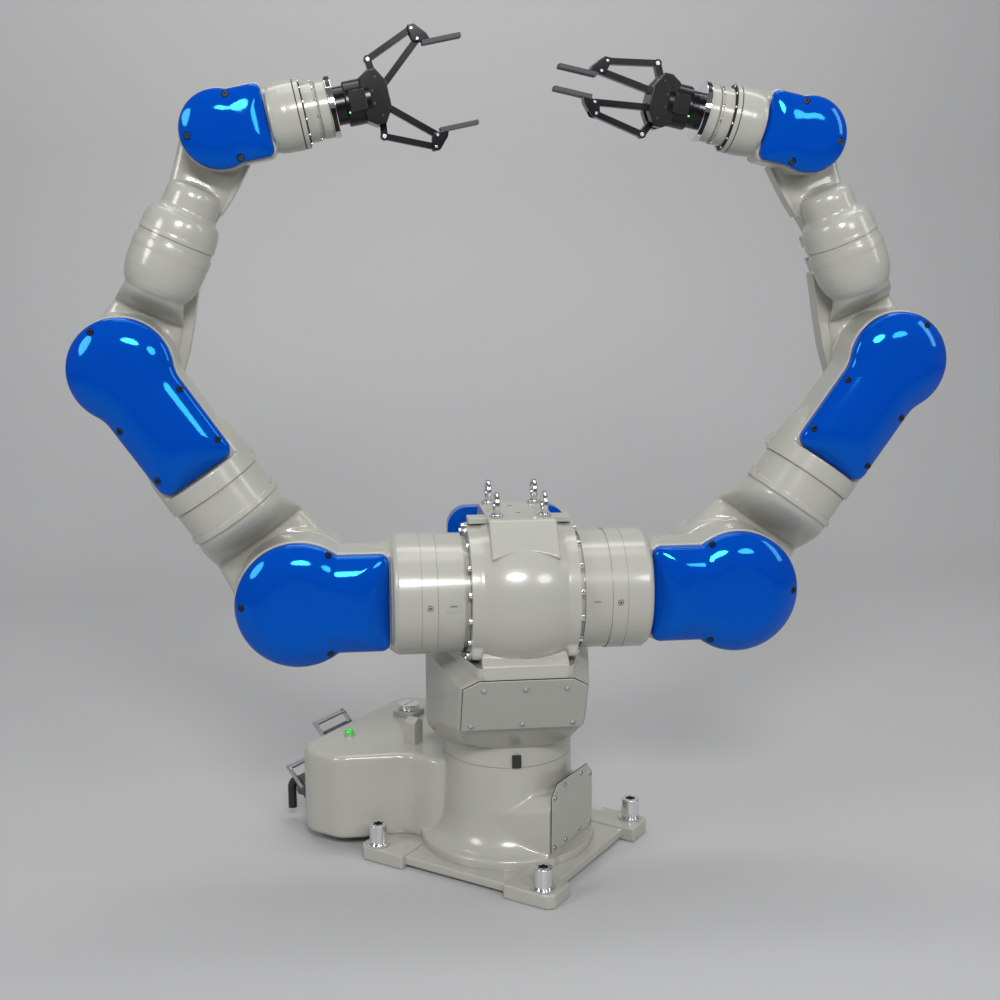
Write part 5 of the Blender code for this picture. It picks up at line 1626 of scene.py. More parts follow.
@dataclass
class Arm:
    """One seven-axis arm from the shoulder flange to the tool flange."""

    wardrobe: Wardrobe
    span: float = 0.385
    upper: float = 0.49
    forearm: float = 0.42
    reach: float = 0.18
    shoulder_start: float = 0.0935
    shoulder_step: float = 0.124
    shoulder_seam: float = 0.151
    shoulder_plug: float = 0.164
    shoulder_end: float = 0.225
    shoulder_can: float = 0.107
    shoulder_slim: float = 0.1055
    upper_disc: float = 0.112
    upper_back: float = 0.124
    upper_can: float = 0.0815
    upper_can_start: float = 0.183
    roll_seam: float = 0.24
    elbow_can: float = 0.0855
    elbow_dome_end: float = -0.128
    fore_disc: float = 0.0885
    fore_back: float = 0.106
    fore_seam: float = 0.228
    fore_dome: float = 0.066
    fore_dome_start: float = 0.128
    tip_dome: float = 0.0645
    tip_dome_end: float = 0.278
    tip_neck: float = 0.046
    tip_neck_end: float = 0.322
    tip_disc: float = 0.0625
    tip_back: float = 0.076
    wrist_can: float = 0.0575
    wrist_seam: float = 0.13
    wrist_face: float = 0.162
    flange_rim: float = 0.0475
    voxel: float = 0.0026

    def __post_init__(self) -> None:
        """Read the axes of the +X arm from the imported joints."""
        joints = {joint["name"]: joint for joint in frame["joints"]}
        lift = joints["right_arm_lift"]["pos_m"]
        bend = joints["right_elbow_bend"]["pos_m"]
        wrist = joints["right_wrist_bend"]["pos_m"]
        self.shoulder_lay = self._lay(lift, (1.0, 0.0, 0.0))
        self.upper_lay = self._lay(lift, joints["right_arm_roll"]["axis"])
        self.elbow_lay = self._lay(bend, joints["right_arm_roll"]["axis"])
        self.fore_lay = self._lay(bend, joints["right_forearm_roll"]["axis"])
        self.wrist_lay = self._lay(wrist, joints["right_tool_turn"]["axis"])

    @staticmethod
    def _lay(origin: Sequence[float], along: Sequence[float]) -> Matrix:
        """Return the matrix of a drawing whose +X runs along a link.

        Args:
            origin: The joint's place.
            along: Direction of the link.

        Returns:
            The matrix.
        """
        x = Vector(along)
        z = Vector((-x.z, 0.0, x.x))
        rows = Matrix((x, (0.0, 1.0, 0.0), z)).transposed().to_4x4()
        return Matrix.Translation(Vector(origin)) @ rows

    def both(
        self, item: Piece, lay: Matrix, name: str, body: str, finish: Finish,
        nodes: Sequence[str] = (), angle: float = 32.0,
    ) -> None:
        """Lay a piece on the +X arm and its mirror image on the other.

        Args:
            item: The piece in its own drawing.
            lay: Where the drawing goes.
            name: Name of the piece, without its side.
            body: Name of its body, without its side.
            finish: Its surface.
            nodes: CAD nodes that it stands for, without their side.
            angle: Edges sharper than this many degrees stay sharp.
        """
        item.data.transform(lay)
        other = self.mirror(Bench.twin(item))
        for hand, piece in ((Hand.RIGHT, item), (Hand.LEFT, other)):
            side = hand.value
            worn = [f"{side}_{node}" for node in nodes]
            self.wardrobe.wear(piece, f"{side}_{name}", f"{side}_{body}", finish, worn, angle)

    @staticmethod
    def mirror(item: Piece) -> Piece:
        """Reflect a piece across the robot's middle plane.

        Args:
            item: Piece to reflect.

        Returns:
            The same piece.
        """
        item.data.transform(Matrix.Scale(-1.0, 4, (1.0, 0.0, 0.0)))
        item.data.flip_normals()
        return item

    def build(self) -> None:
        """Model and dress both arms up to the tool flange."""
        self.shoulder()
        self.upper_arm()
        self.elbow()
        self.forearm_root()
        self.forearm_tip()
        self.wrist()

    def cover(self, kind: JointCover, lay: Matrix, name: str, body: str) -> None:
        """Dress one blue cover and its screws."""
        self.both(kind.dish(), lay, f"{name}_dish", body, BLUE_PAINT, [f"{name}_cover"], 30.0)
        self.both(kind.pins(), lay, f"{name}_cover_screws", body, BLACK_SCREW)

    def shoulder(self) -> None:
        """Dress the housing that turns on the torso's flange."""
        can = self.shoulder_can
        end = -(self.span - self.shoulder_end)
        start = -(self.span - self.shoulder_start - JOINT_GAP)
        seam = -(self.span - self.shoulder_seam)
        slim = self.shoulder_slim
        half = SHOULDER_COVER.half
        split = SHOULDER_COVER.split
        plane = SHOULDER_COVER.plane
        clear = -0.113
        bridge = Bench.stack([
            Draw.squircle(end - 0.006, can - 0.004, -can + 0.004, can - 0.004),
            Draw.squircle(end + 0.014, half + 0.008, -split - 0.012, can * 0.72, 2.4),
            Draw.squircle(clear - 0.012, half + 0.001, -split + 0.001, can * 0.3, 3.0),
            Draw.squircle(clear - 0.003, half, -split + 0.002, plane + 0.006, 4.0),
            Draw.squircle(clear - 0.001, half, -split + 0.002, plane - 0.001, 4.0),
            Draw.squircle(clear + 0.02, half - 0.002, -split + 0.003, plane - 0.002, 5.0),
        ])
        core = Bench.lathe([(can - 0.001, seam), (can - 0.001, end - 0.008), (can - 0.006, end)], Axis.X, 96)
        body = Bench.cast(self.voxel, 4, core, bridge, SHOULDER_COVER.slab())
        Bench.shape(body, Cut.AWAY, SHOULDER_COVER.seat())
        rim = Bench.lathe([
            (slim - 0.007, start), (slim - 0.007, start + 0.01), (slim, start + 0.01),
            (slim, seam - 0.0006), (slim - 0.0012, seam - 0.0004), (slim - 0.0012, seam), (can, seam),
            (can, seam + 0.026), (can - 0.001, seam + 0.0262), (can - 0.001, seam + 0.0272),
            (can, seam + 0.0274), (can, end - 0.01), (can - 0.002, end - 0.006),
        ], Axis.X, 128)
        item = Bench.join(body, rim)
        self.both(item, self.shoulder_lay, "shoulder_shell", "shoulder", GREY_PAINT, ["shoulder_housing"], 40.0)
        self.cover(SHOULDER_COVER, self.shoulder_lay, "shoulder", "shoulder")
        self.shoulder_trim()

    def shoulder_trim(self) -> None:
        """Dress the small oval plate and the plug in front of the shoulder can, with painted shade in the plate's
        slot and round the plug.
        """
        slim = self.shoulder_slim
        spot = -(self.span - self.shoulder_step)
        outline = Draw.bar((spot - 0.007, 0.0), (spot + 0.007, 0.0), 0.0085, 10)
        plate = Bench.slab(outline, -slim - 0.0006, -slim + 0.006, Axis.Y, 0.0004)
        self.both(plate, self.shoulder_lay, "shoulder_plate", "shoulder", GREY_PLATE)
        # A thin dark bar on the oval plate: painted shade in its slot.
        outline = Draw.bar((spot - 0.0055, 0.002), (spot + 0.0055, 0.002), 0.0006, 6)
        slot = Bench.slab(outline, -slim - 0.0009, -slim, Axis.Y)
        self.both(slot, self.shoulder_lay, "shoulder_plate_slot_shade", "shoulder", PAINTED_SHADE)
        spot = -(self.span - self.shoulder_plug)
        can = self.shoulder_can
        # A dark ring round the plug: painted shade in the hole that it sits in.
        ring = Bench.lathe([(0.005, -can - 0.0006), (0.005, -can + 0.004)], Axis.Y, 32)
        Bench.move(ring, spot, 0.0, 0.0)
        self.both(ring, self.shoulder_lay, "shoulder_plug_ring_shade", "shoulder", PAINTED_SHADE)
        plug = Bench.lay(Hardware.socket_screw(0.0042, 0.005), facing((spot, -can + 0.004, 0.0), (0.0, -1.0, 0.0)))
        self.both(plug, self.shoulder_lay, "shoulder_plug", "shoulder", GREY_PLATE)

    def link(self, root: float, back: float, can: float, can_start: float, plane: float) -> list[Piece]:
        """Return the disc behind a joint and the neck that sweeps forward from it.

        Args:
            root: Radius of the disc.
            back: How far back the disc reaches.
            can: Radius that the neck ends on.
            can_start: Where the neck ends.
            plane: Joint plane in front of the disc.

        Returns:
            The disc and the neck.
        """
        front = plane + JOINT_GAP
        edge = 0.016
        rows = [(root, front)]
        rows += [(root - edge + edge * c, back - edge + edge * s) for c, s in Draw.turns(*QUARTER)]
        disc = Bench.lathe(rows, Axis.Y, 96)
        reach = root + 0.006
        rings = []
        stations = [reach * i / 6 for i in range(6)]
        stations += [reach + (can_start - reach) * i / 10 for i in range(11)]
        for x in stations:
            share = x / can_start
            ease = share * share * (3.0 - 2.0 * share)
            half = root - 0.002 + (can - root + 0.002) * share
            high = back - 0.002 + (can - back + 0.002) * ease
            low = front
            if x > reach:
                fall = (x - reach) / (can_start - reach)
                low = front + (-can - front) * math.sin(fall * math.pi / 2.0)
            rings.append(Draw.squircle(x, half, low, high, 3.4 - 1.4 * share))
        return [disc, Bench.stack(rings)]

    @staticmethod
    def face_cut(plane: float, radius: float) -> Piece:
        """Return the block that trims a casting flat at its joint plane."""
        return Bench.lathe([(radius, plane - 0.05), (radius, plane + JOINT_GAP)], Axis.Y, 96)

    def upper_arm(self) -> None:
        """Dress the link from the lift axis to the elbow's roll seam."""
        end = self.roll_seam - JOINT_GAP
        start = self.upper_can_start
        can = self.upper_can
        parts = self.link(self.upper_disc, self.upper_back, can, start, SHOULDER_COVER.plane)
        body = Bench.cast(self.voxel, 5, *parts)
        Bench.shape(body, Cut.AWAY, self.face_cut(SHOULDER_COVER.plane, self.upper_disc + 0.0005))
        sleeve = Bench.lathe([
            (can - 0.004, start - 0.008), (can, start - 0.003), (can + 0.004, start),
            (can + 0.004, start + 0.009), (can + 0.003, start + 0.01), (can, start + 0.01), (can, end),
        ], Axis.X, 128)
        Bench.soften(sleeve, 0.0006, 2, 40.0)
        tab = Bench.block((start + 0.001, -0.012, can - 0.001), (start + 0.016, 0.012, can + 0.0055), 0.0015)
        item = Bench.join(body, sleeve, tab)
        self.both(item, self.upper_lay, "upper_arm_shell", "upper_arm_body", GREY_PAINT, ["upper_arm"], 40.0)

    def elbow(self) -> None:
        """Dress the housing that turns on the upper arm."""
        can = self.elbow_can
        start = -(self.upper - self.roll_seam)
        shoulder = start + 0.048
        dome_end = self.elbow_dome_end
        rows = [(can - 0.0022, start), (can - 0.0004, start + 0.002), (can - 0.0004, shoulder)]
        rows += [
            (0.045 + (can - 0.0454) * s, dome_end + (shoulder - dome_end) * (1.0 - c))
            for c, s in Draw.turns(*range(75, -1, -15))
        ]
        dome = Bench.lathe(rows, Axis.X, 96)
        Bench.shape(dome, Cut.AWAY, ELBOW_COVER.seat())
        body = Bench.cast(self.voxel, 3, dome, ELBOW_COVER.slab())
        Bench.shape(body, Cut.AWAY, ELBOW_COVER.seat())
        ring = Bench.lathe([(can - 0.002, start), (can, start + 0.0018), (can, start + 0.03)], Axis.X, 128)
        Bench.shape(ring, Cut.AWAY, ELBOW_COVER.seat())
        tab = Bench.block((start + 0.006, 0.02, can - 0.006), (start + 0.03, 0.034, can + 0.0005), 0.0015)
        item = Bench.join(body, ring, tab)
        self.both(item, self.elbow_lay, "elbow_shell", "elbow", GREY_PAINT, ["elbow_housing"], 40.0)
        self.cover(ELBOW_COVER, self.elbow_lay, "elbow", "elbow")

    def forearm_root(self) -> None:
        """Dress the link from the elbow to the forearm's roll seam."""
        end = self.fore_seam - JOINT_GAP
        dome_r = self.fore_dome
        start = self.fore_dome_start
        rows = [(0.03, start - 0.004)]
        rows += [
            (0.04 + (dome_r - 0.0405) * s, end - 0.04 - 0.058 * c) for c, s in Draw.turns(*range(15, 91, 15))
        ]
        rows += [(dome_r - 0.0004, end - 0.014), (dome_r - 0.003, end - 0.01), (dome_r - 0.003, end)]
        dome = Bench.lathe(rows, Axis.X, 96)
        parts = self.link(self.fore_disc, self.fore_back, 0.05, start + 0.01, ELBOW_COVER.plane)
        body = Bench.cast(self.voxel * 0.9, 3, dome, *parts)
        Bench.shape(body, Cut.AWAY, self.face_cut(ELBOW_COVER.plane, self.fore_disc + 0.0005))
        ring = Bench.lathe([
            (dome_r - 0.002, end - 0.03), (dome_r, end - 0.026), (dome_r, end - 0.012),
            (dome_r - 0.003, end - 0.008), (dome_r - 0.003, end),
        ], Axis.X, 128)
        clip = Bench.block((end - 0.034, 0.03, dome_r - 0.022), (end - 0.008, 0.046, dome_r - 0.006), 0.0015)
        outer = [(0.0, 0.0925), (0.059, 0.0855), (0.105, 0.0755), (0.15, 0.064), (0.188, 0.0545)]
        inner = [(0.188, 0.03), (0.085, 0.04), (0.055, 0.07), (0.0, 0.0805)]
        item = Bench.join(body, ring, clip, self.guard(outer, inner, 0.046, 0.084))
        self.both(item, self.fore_lay, "forearm_root_shell", "forearm", GREY_PAINT, ["forearm_root"], 40.0)

    @staticmethod
    def guard(outer: Sequence[Point2], inner: Sequence[Point2], low: float, high: float) -> Piece:
        """Return the flange over a forearm's cable channel; the inner edge runs back inside the casting."""
        return Bench.slab(list(outer) + list(inner), low, high, Axis.Y, 0.0022)

    def forearm_tip(self) -> None:
        """Dress the link from the forearm's roll seam to the wrist axis."""
        start = self.fore_seam
        neck = self.tip_neck
        dome_r = self.tip_dome
        dome_end = self.tip_dome_end
        neck_end = self.tip_neck_end
        rows = [(dome_r, start)]
        rows += [
            (neck + 0.006 + (dome_r - neck - 0.0065) * c, start + 0.01 + 0.034 * s)
            for c, s in Draw.turns(*range(0, 91, 15))
        ]
        edge = 0.018
        rows += [(neck, dome_end + 0.002), (neck, neck_end - edge)]
        rows += [
            (neck - edge + edge * c, neck_end - edge + edge * s) for c, s in Draw.turns(30.0, 60.0, 90.0)
        ]
        dome = Bench.lathe(rows, Axis.X, 96)
        front = WRIST_COVER.plane + JOINT_GAP
        back = self.tip_back
        far = self.forearm
        root = self.tip_disc
        disc = Bench.lathe([(root, front), (root, back - 0.006), (root - 0.006, back)], Axis.Y, 96)
        Bench.move(disc, far, 0.0, 0.0)
        spine = Bench.stack([
            Draw.squircle(start + 0.012, neck - 0.004, front - 0.018, back + 0.006, 2.2),
            Draw.squircle(start + 0.05, neck, front - 0.01, back + 0.002, 2.8),
            Draw.squircle(far - 0.085, 0.0535, front, back, 3.6),
            Draw.squircle(far - 0.04, 0.0605, front + 0.001, back - 0.001, 4.0),
            Draw.squircle(far, 0.0605, front + 0.001, back - 0.001, 4.0),
        ])
        body = Bench.cast(self.voxel * 0.9, 3, dome, spine, disc)
        cut = self.face_cut(WRIST_COVER.plane, root + 0.0005)
        Bench.move(cut, far, 0.0, 0.0)
        flat = Bench.block((start - 0.02, -0.2, -0.2), (start, 0.2, 0.2))
        Bench.shape(body, Cut.AWAY, cut, flat)
        ring = Bench.lathe([
            (dome_r - 0.001, start), (dome_r, start + 0.001), (dome_r, start + 0.008),
            (dome_r - 0.003, start + 0.014),
        ], Axis.X, 128)
        low = (start + 0.01, 0.03, dome_r - 0.022)
        clip = Bench.block(low, (start + 0.03, 0.044, dome_r - 0.0075), 0.0015)
        outer = [(0.292, 0.049), (0.318, 0.0545), (0.345, 0.058), (0.392, 0.0615)]
        inner = [(0.392, 0.0495), (0.35, 0.04), (0.33, 0.032), (0.292, 0.032)]
        item = Bench.join(body, ring, clip, self.guard(outer, inner, 0.036, 0.07))
        self.both(item, self.fore_lay, "forearm_tip_shell", "forearm_end", GREY_PAINT, ["forearm_tip"], 40.0)

    def wrist(self) -> None:
        """Dress the wrist housing with its two bolted rings and the tool flange."""
        face = self.wrist_face
        seam = self.wrist_seam
        can = self.wrist_can
        body = Bench.lathe([
            (can - 0.012, 0.072), (can - 0.006, 0.078), (can - 0.002, 0.09), (can - 0.0004, 0.104),
            (can - 0.0004, seam - 0.001),
        ], Axis.X, 96)
        Bench.shape(body, Cut.AWAY, WRIST_COVER.seat())
        shell = Bench.cast(self.voxel * 0.8, 3, body, WRIST_COVER.slab())
        Bench.shape(shell, Cut.AWAY, WRIST_COVER.seat())
        rings = Bench.lathe([
            (can - 0.001, seam - 0.02), (can, seam - 0.018), (can, seam - 0.0012),
            (can - 0.0022, seam - 0.0008), (can - 0.0022, seam + 0.0004), (can, seam + 0.0008), (can, 0.138),
            (0.049, 0.1381), (0.049, 0.1575),
            (0.0462, 0.1576), (0.0462, 0.1608), (0.0475, 0.161), (0.0475, face),
        ], Axis.X, 128)
        item = Bench.join(shell, rings)
        self.both(item, self.wrist_lay, "wrist_shell", "wrist", GREY_PAINT, ["wrist_housing"], 40.0)
        self.cover(WRIST_COVER, self.wrist_lay, "wrist", "wrist")
        places = []
        for i in range(12):
            angle = math.radians(30.0 * i + 15.0)
            across = (math.cos(angle), math.sin(angle))
            places.append(facing((0.1387, 0.0522 * across[0], 0.0522 * across[1]), (1.0, 0.0, 0.0)))
            places.append(facing((0.1578, 0.0464 * across[0], 0.0464 * across[1]), (0.0, *across)))
        bolts = Bench.spread(Hardware.socket_screw(0.0024, 0.0024), places)
        self.both(bolts, self.wrist_lay, "wrist_bolts", "wrist", CHROME)
        # Near-black rings in the seam groove and at the step down to the bolted ring: painted shade in those gaps.
        gap_shades = Bench.join(
            Bench.lathe([(0.0562, seam - 0.0012), (0.0562, seam + 0.0008)], Axis.X, 96),
            Bench.lathe([(0.0552, 0.1376), (0.0552, 0.1388), (0.0496, 0.1396), (0.0496, 0.1408)], Axis.X, 96),
        )
        self.both(gap_shades, self.wrist_lay, "wrist_gap_shades", "wrist", PAINTED_SHADE)
        rim = self.flange_rim
        low = face + JOINT_GAP
        flange = Bench.lathe([(rim - 0.002, low), (rim, low + 0.003), (rim, self.reach)], Axis.X, 128)
        Bench.soften(flange, 0.0007, 2, 40.0)
        self.both(flange, self.wrist_lay, "tool_flange_turned", "tool", GREY_PAINT, ["tool_flange"])


@dataclass
class Gripper:
    """Two-finger parallel gripper on its bright adaptor."""

    arm: Arm
    swing: dict[Hand, float]
    neck: float = 0.017
    half_depth: float = 0.0085
    clearance: float = 0.0003
    half_width: float = 0.0055
    length: float = 0.1
    crank: float = 0.03175
    rod: float = 0.0865
    outer: Point2 = (0.0549, 0.0306)
    inner: Point2 = (0.0614, 0.0127)
    pin_radius: float = 0.003
    adaptor_radius: float = 0.05
    adaptor_thick: float = 0.01
    can_radius: float = 0.0365
    palm_depth: float = 0.0325
    palm_wide: float = 0.044
    palm_nose: float = 0.021
    tip_depth: float = 0.0135
    pad_inner: float = 0.0109
    pad_thick: float = 0.0075
    pad_start: float = 0.0062
    pad_length: float = 0.065

    def start(self) -> float:
        """Return where the gripper's own axis starts on the tool axis."""
        return self.arm.reach + 2.0 * SEAM + self.adaptor_thick + self.neck

    def build(self) -> None:
        """Model and dress the adaptors, the bodies and all fingers."""
        self.adaptor()
        self.body()
        for hand in Hand:
            for number, sign in ((1, 1), (2, -1)):
                self.finger(hand, number, sign)

    def adaptor(self) -> None:
        """Dress the bright plate with its dark pockets."""
        low = self.arm.reach + SEAM
        high = low + self.adaptor_thick
        lay = self.arm.wrist_lay
        plate = Bench.lathe([(self.adaptor_radius, low), (self.adaptor_radius, high)], Axis.X, 128)
        Bench.soften(plate, 0.0006)
        self.arm.both(plate, lay, "coupling_turned", "tool", CHROME, ["coupling_plate"])
        pads = []
        for middle in (60.0, 150.0, 240.0, 330.0):
            outline = Draw.arc((0.0, 0.0), 0.0501, middle - 24.0, middle + 24.0, 12)
            outline += Draw.arc((0.0, 0.0), 0.044, middle + 24.0, middle - 24.0, 12)
            pads.append(Bench.slab(outline, low + 0.0012, high - 0.0012, Axis.X))
        self.arm.both(Bench.join(*pads), lay, "coupling_pockets", "tool", BLACK_METAL)

    def body(self) -> None:
        """Dress the round body, the hexagonal palm and its screws."""
        base = self.start()
        lay = self.arm.wrist_lay
        round_half = self.can_radius
        can = Bench.lathe([
            (0.031, base - self.neck), (0.031, base - 0.0005), (0.0345, base), (round_half, base + 0.002),
            (round_half, base + 0.042),
        ], Axis.X, 96)
        wide = self.palm_wide
        nose = self.palm_nose
        corners = [
            (base + 0.028, -0.034), (base + 0.044, -wide), (base + 0.058, -wide), (base + 0.072, -nose),
            (base + 0.072, nose), (base + 0.058, wide), (base + 0.044, wide), (base + 0.028, 0.034),
        ]
        depth = self.palm_depth
        palm = Bench.slab(corners, -depth, depth, Axis.Y, 0.0016)
        slot_half = self.half_depth + self.clearance
        web = self.inner[1] - self.half_width - self.clearance
        floor = base + self.outer[0] - self.half_width - 0.004
        for sign in (-1, 1):
            low, high = sorted((sign * web, sign * (wide + 0.01)))
            Bench.shape(palm, Cut.AWAY, Bench.block((floor, -slot_half, low), (base + 0.082, slot_half, high)))
            Bench.shape(can, Cut.AWAY, Bench.block((floor, -slot_half, low), (base + 0.082, slot_half, high)))
        pins = []
        for sign in (-1, 1):
            for axial, lateral in (self.outer, self.inner):
                pins.append(self.rod_pin((base + axial, sign * lateral), self.pin_radius, slot_half + 0.002))
        front, rear, half = (base + 0.006, base + 0.034, 0.017)
        outline = Draw.rounded([(front, -half), (rear, -half), (rear, half), (front, half)], 0.004)
        panel = Bench.slab(outline, -0.0372, -0.03, Axis.Y, 0.0006)
        item = Bench.join(can, palm, panel, *pins)
        self.arm.both(item, lay, "gripper_shell", "tool", BLACK_METAL, ["gripper_body"])
        spots = [(0.046, 0.01), (0.046, -0.01), self.outer, (self.outer[0], -self.outer[1])]
        places = []
        for axial, lateral in spots:
            for way in (-1.0, 1.0):
                places.append(facing((base + axial, way * (depth - 0.0003), lateral), (0.0, way, 0.0)))
        screws = Bench.spread(Hardware.socket_screw(0.0023, 0.0008), places)
        self.arm.both(screws, lay, "gripper_screws", "tool", BLACK_SCREW)
        light = Bench.lathe([(0.0013, 0.0), (0.0013, 0.0006), (0.0008, 0.001)], Axis.Z, 24)
        light.data.transform(facing((base + 0.0036, -0.0325, 0.016), (0.0, -0.9, 0.44)))
        self.arm.both(light, lay, "gripper_light", "tool", GREEN_LIGHT)

    @staticmethod
    def along(start: Point2, length: float, angle: float) -> Point2:
        """Return the point at a length and angle from another."""
        return (start[0] + length * math.cos(angle), start[1] + length * math.sin(angle))

    def bar(self, start: Point2, end: Point2, half: float, depth: float) -> Piece:
        """Return a round-ended bar, centred on the finger plane."""
        return Bench.slab(Draw.bar(start, end, half), -depth, depth, Axis.Y)

    def rod_pin(self, spot: Point2, radius: float, half: float) -> Piece:
        """Return a short round pin across the finger plane."""
        return Bench.move(Bench.lathe([(radius, -half), (radius, half)], Axis.Y, 32), spot[0], 0.0, spot[1])

    def finger(self, hand: Hand, number: int, sign: int) -> None:
        """Dress one finger: its bent link, its straight bar and its forked tip.

        Args:
            hand: Arm that carries it.
            number: Finger number in the CAD names.
            sign: Side of the palm that it hangs on.
        """
        swing = sign * self.swing[hand]
        base = self.start()
        far = self.along((0.0, 0.0), self.length, swing)
        lean = (self.crank ** 2 + self.length ** 2 - self.rod ** 2) / (2.0 * self.crank * self.length)
        knee = self.along((0.0, 0.0), self.crank, swing + sign * math.acos(lean))
        depth = self.half_depth
        hole = self.pin_radius + self.clearance
        link = self.bar((0.0, 0.0), knee, self.half_width, depth)
        rod = self.bar(knee, far, self.half_width * 0.94, depth - 0.0002)
        boss = self.rod_pin(knee, self.half_width * 1.2, depth + 0.0001)
        Bench.shape(link, Cut.TOGETHER, rod, boss)
        Bench.shape(link, Cut.AWAY, *[self.rod_pin(spot, hole, depth + 0.004) for spot in ((0.0, 0.0), far)])
        Bench.soften(link, 0.0006, 2, 50.0)
        outer = (base + self.outer[0], 0.0, sign * self.outer[1])
        name = f"outer_link_{number}"
        self.one(link, hand, outer, f"{name}_milled", f"{name}_body", BLACK_METAL, name)
        screw = Bench.spread(
            Hardware.socket_screw(0.0036, 0.001),
            [facing((knee[0], way * (depth - 0.0003), knee[1]), (0.0, way, 0.0)) for way in (-1.0, 1.0)],
        )
        self.one(screw, hand, outer, f"{name}_screws", f"{name}_body", STEEL)
        bar = self.bar((0.0, 0.0), far, self.half_width, depth)
        Bench.shape(bar, Cut.AWAY, *[self.rod_pin(spot, hole, depth + 0.004) for spot in ((0.0, 0.0), far)])
        Bench.soften(bar, 0.0006, 2, 50.0)
        inner = (base + self.inner[0], 0.0, sign * self.inner[1])
        name = f"inner_bar_{number}"
        self.one(bar, hand, inner, f"{name}_milled", f"{name}_body", BLACK_METAL, name)
        spot = (inner[0] + far[0], 0.0, inner[2] + far[1])
        self.tip(hand, number, sign, spot)

    def tip(self, hand: Hand, number: int, sign: int, spot: tuple[float, float, float]) -> None:
        """Dress one forked fingertip and its grip pad.

        Args:
            hand: Arm that carries it.
            number: Finger number in the CAD names.
            sign: Side of the palm that it hangs on.
            spot: Its pivot on the straight bar, in the wrist's drawing.
        """
        rise = self.outer[1] - self.inner[1]
        back = self.outer[0] - self.inner[0]
        cheek = self.half_width + 0.0005
        inner_face = -sign * self.pad_inner
        outer_face = inner_face + sign * self.pad_thick
        start = self.pad_start
        heel = start + 0.014
        fork = [
            (back - cheek, sign * (rise - 0.003)), (back - cheek, sign * (rise + cheek)),
            (back + cheek, sign * (rise + cheek)), (heel - 0.004, sign * 0.006),
            (heel, outer_face - sign * 0.001), (-0.005, outer_face - sign * 0.001), (-0.008, sign * -0.002),
        ]
        if sign < 0:
            fork.reverse()
        half = self.tip_depth
        slot_half = self.half_depth + self.clearance
        body = Bench.slab(fork, -half, half, Axis.Y, 0.0012)
        Bench.shape(body, Cut.AWAY, Bench.block((-0.04, -slot_half, -0.04), (start, slot_half, 0.04)))
        pivots = ((0.0, 0.0), (back, sign * rise))
        pins = [self.rod_pin(at, self.pin_radius, slot_half + 0.002) for at in pivots]
        item = Bench.join(body, *pins)
        name = f"fingertip_{number}"
        self.one(item, hand, spot, f"{name}_fork", f"{name}_body", BLACK_METAL, name)
        low, high = sorted((inner_face, outer_face))
        pad = Bench.block((start, -half - 0.0002, low), (start + self.pad_length, half + 0.0002, high), 0.0007)
        grooves = []
        for i in range(9):
            x = start + 0.012 + 0.0055 * i
            face = sorted((inner_face - sign * 0.001, inner_face + sign * 0.0006))
            grooves.append(Bench.block((x, -0.05, face[0]), (x + 0.001, 0.05, face[1])))
        Bench.shape(pad, Cut.AWAY, Bench.join(*grooves))
        self.one(pad, hand, spot, f"{name}_pad", f"{name}_body", PAD_RUBBER)
        screws = Bench.spread(
            Hardware.socket_screw(0.0024, 0.001),
            [
                facing((at[0], way * (half - 0.0002), at[1]), (0.0, way, 0.0))
                for at in pivots for way in (-1.0, 1.0)
            ],
        )
        self.one(screws, hand, spot, f"{name}_screws", f"{name}_body", STEEL)

    def one(
        self, item: Piece, hand: Hand, spot: Sequence[float], name: str, body: str,
        finish: Finish, node: str = "",
    ) -> None:
        """Lay a finger piece on one arm.

        Args:
            item: The piece, drawn round its own pivot.
            hand: Arm that carries it.
            spot: Its pivot in the wrist's drawing.
            name: Name of the piece, without its side.
            body: Name of its body, without its side.
            finish: Its surface.
            node: CAD node that it stands for, without its side.
        """
        item.data.transform(self.arm.wrist_lay @ Matrix.Translation(Vector(spot)))
        if hand is Hand.LEFT:
            Arm.mirror(item)
        side = hand.value
        nodes = [f"{side}_{node}"] if node else []
        self.arm.wardrobe.wear(item, f"{side}_{name}", f"{side}_{body}", finish, nodes)


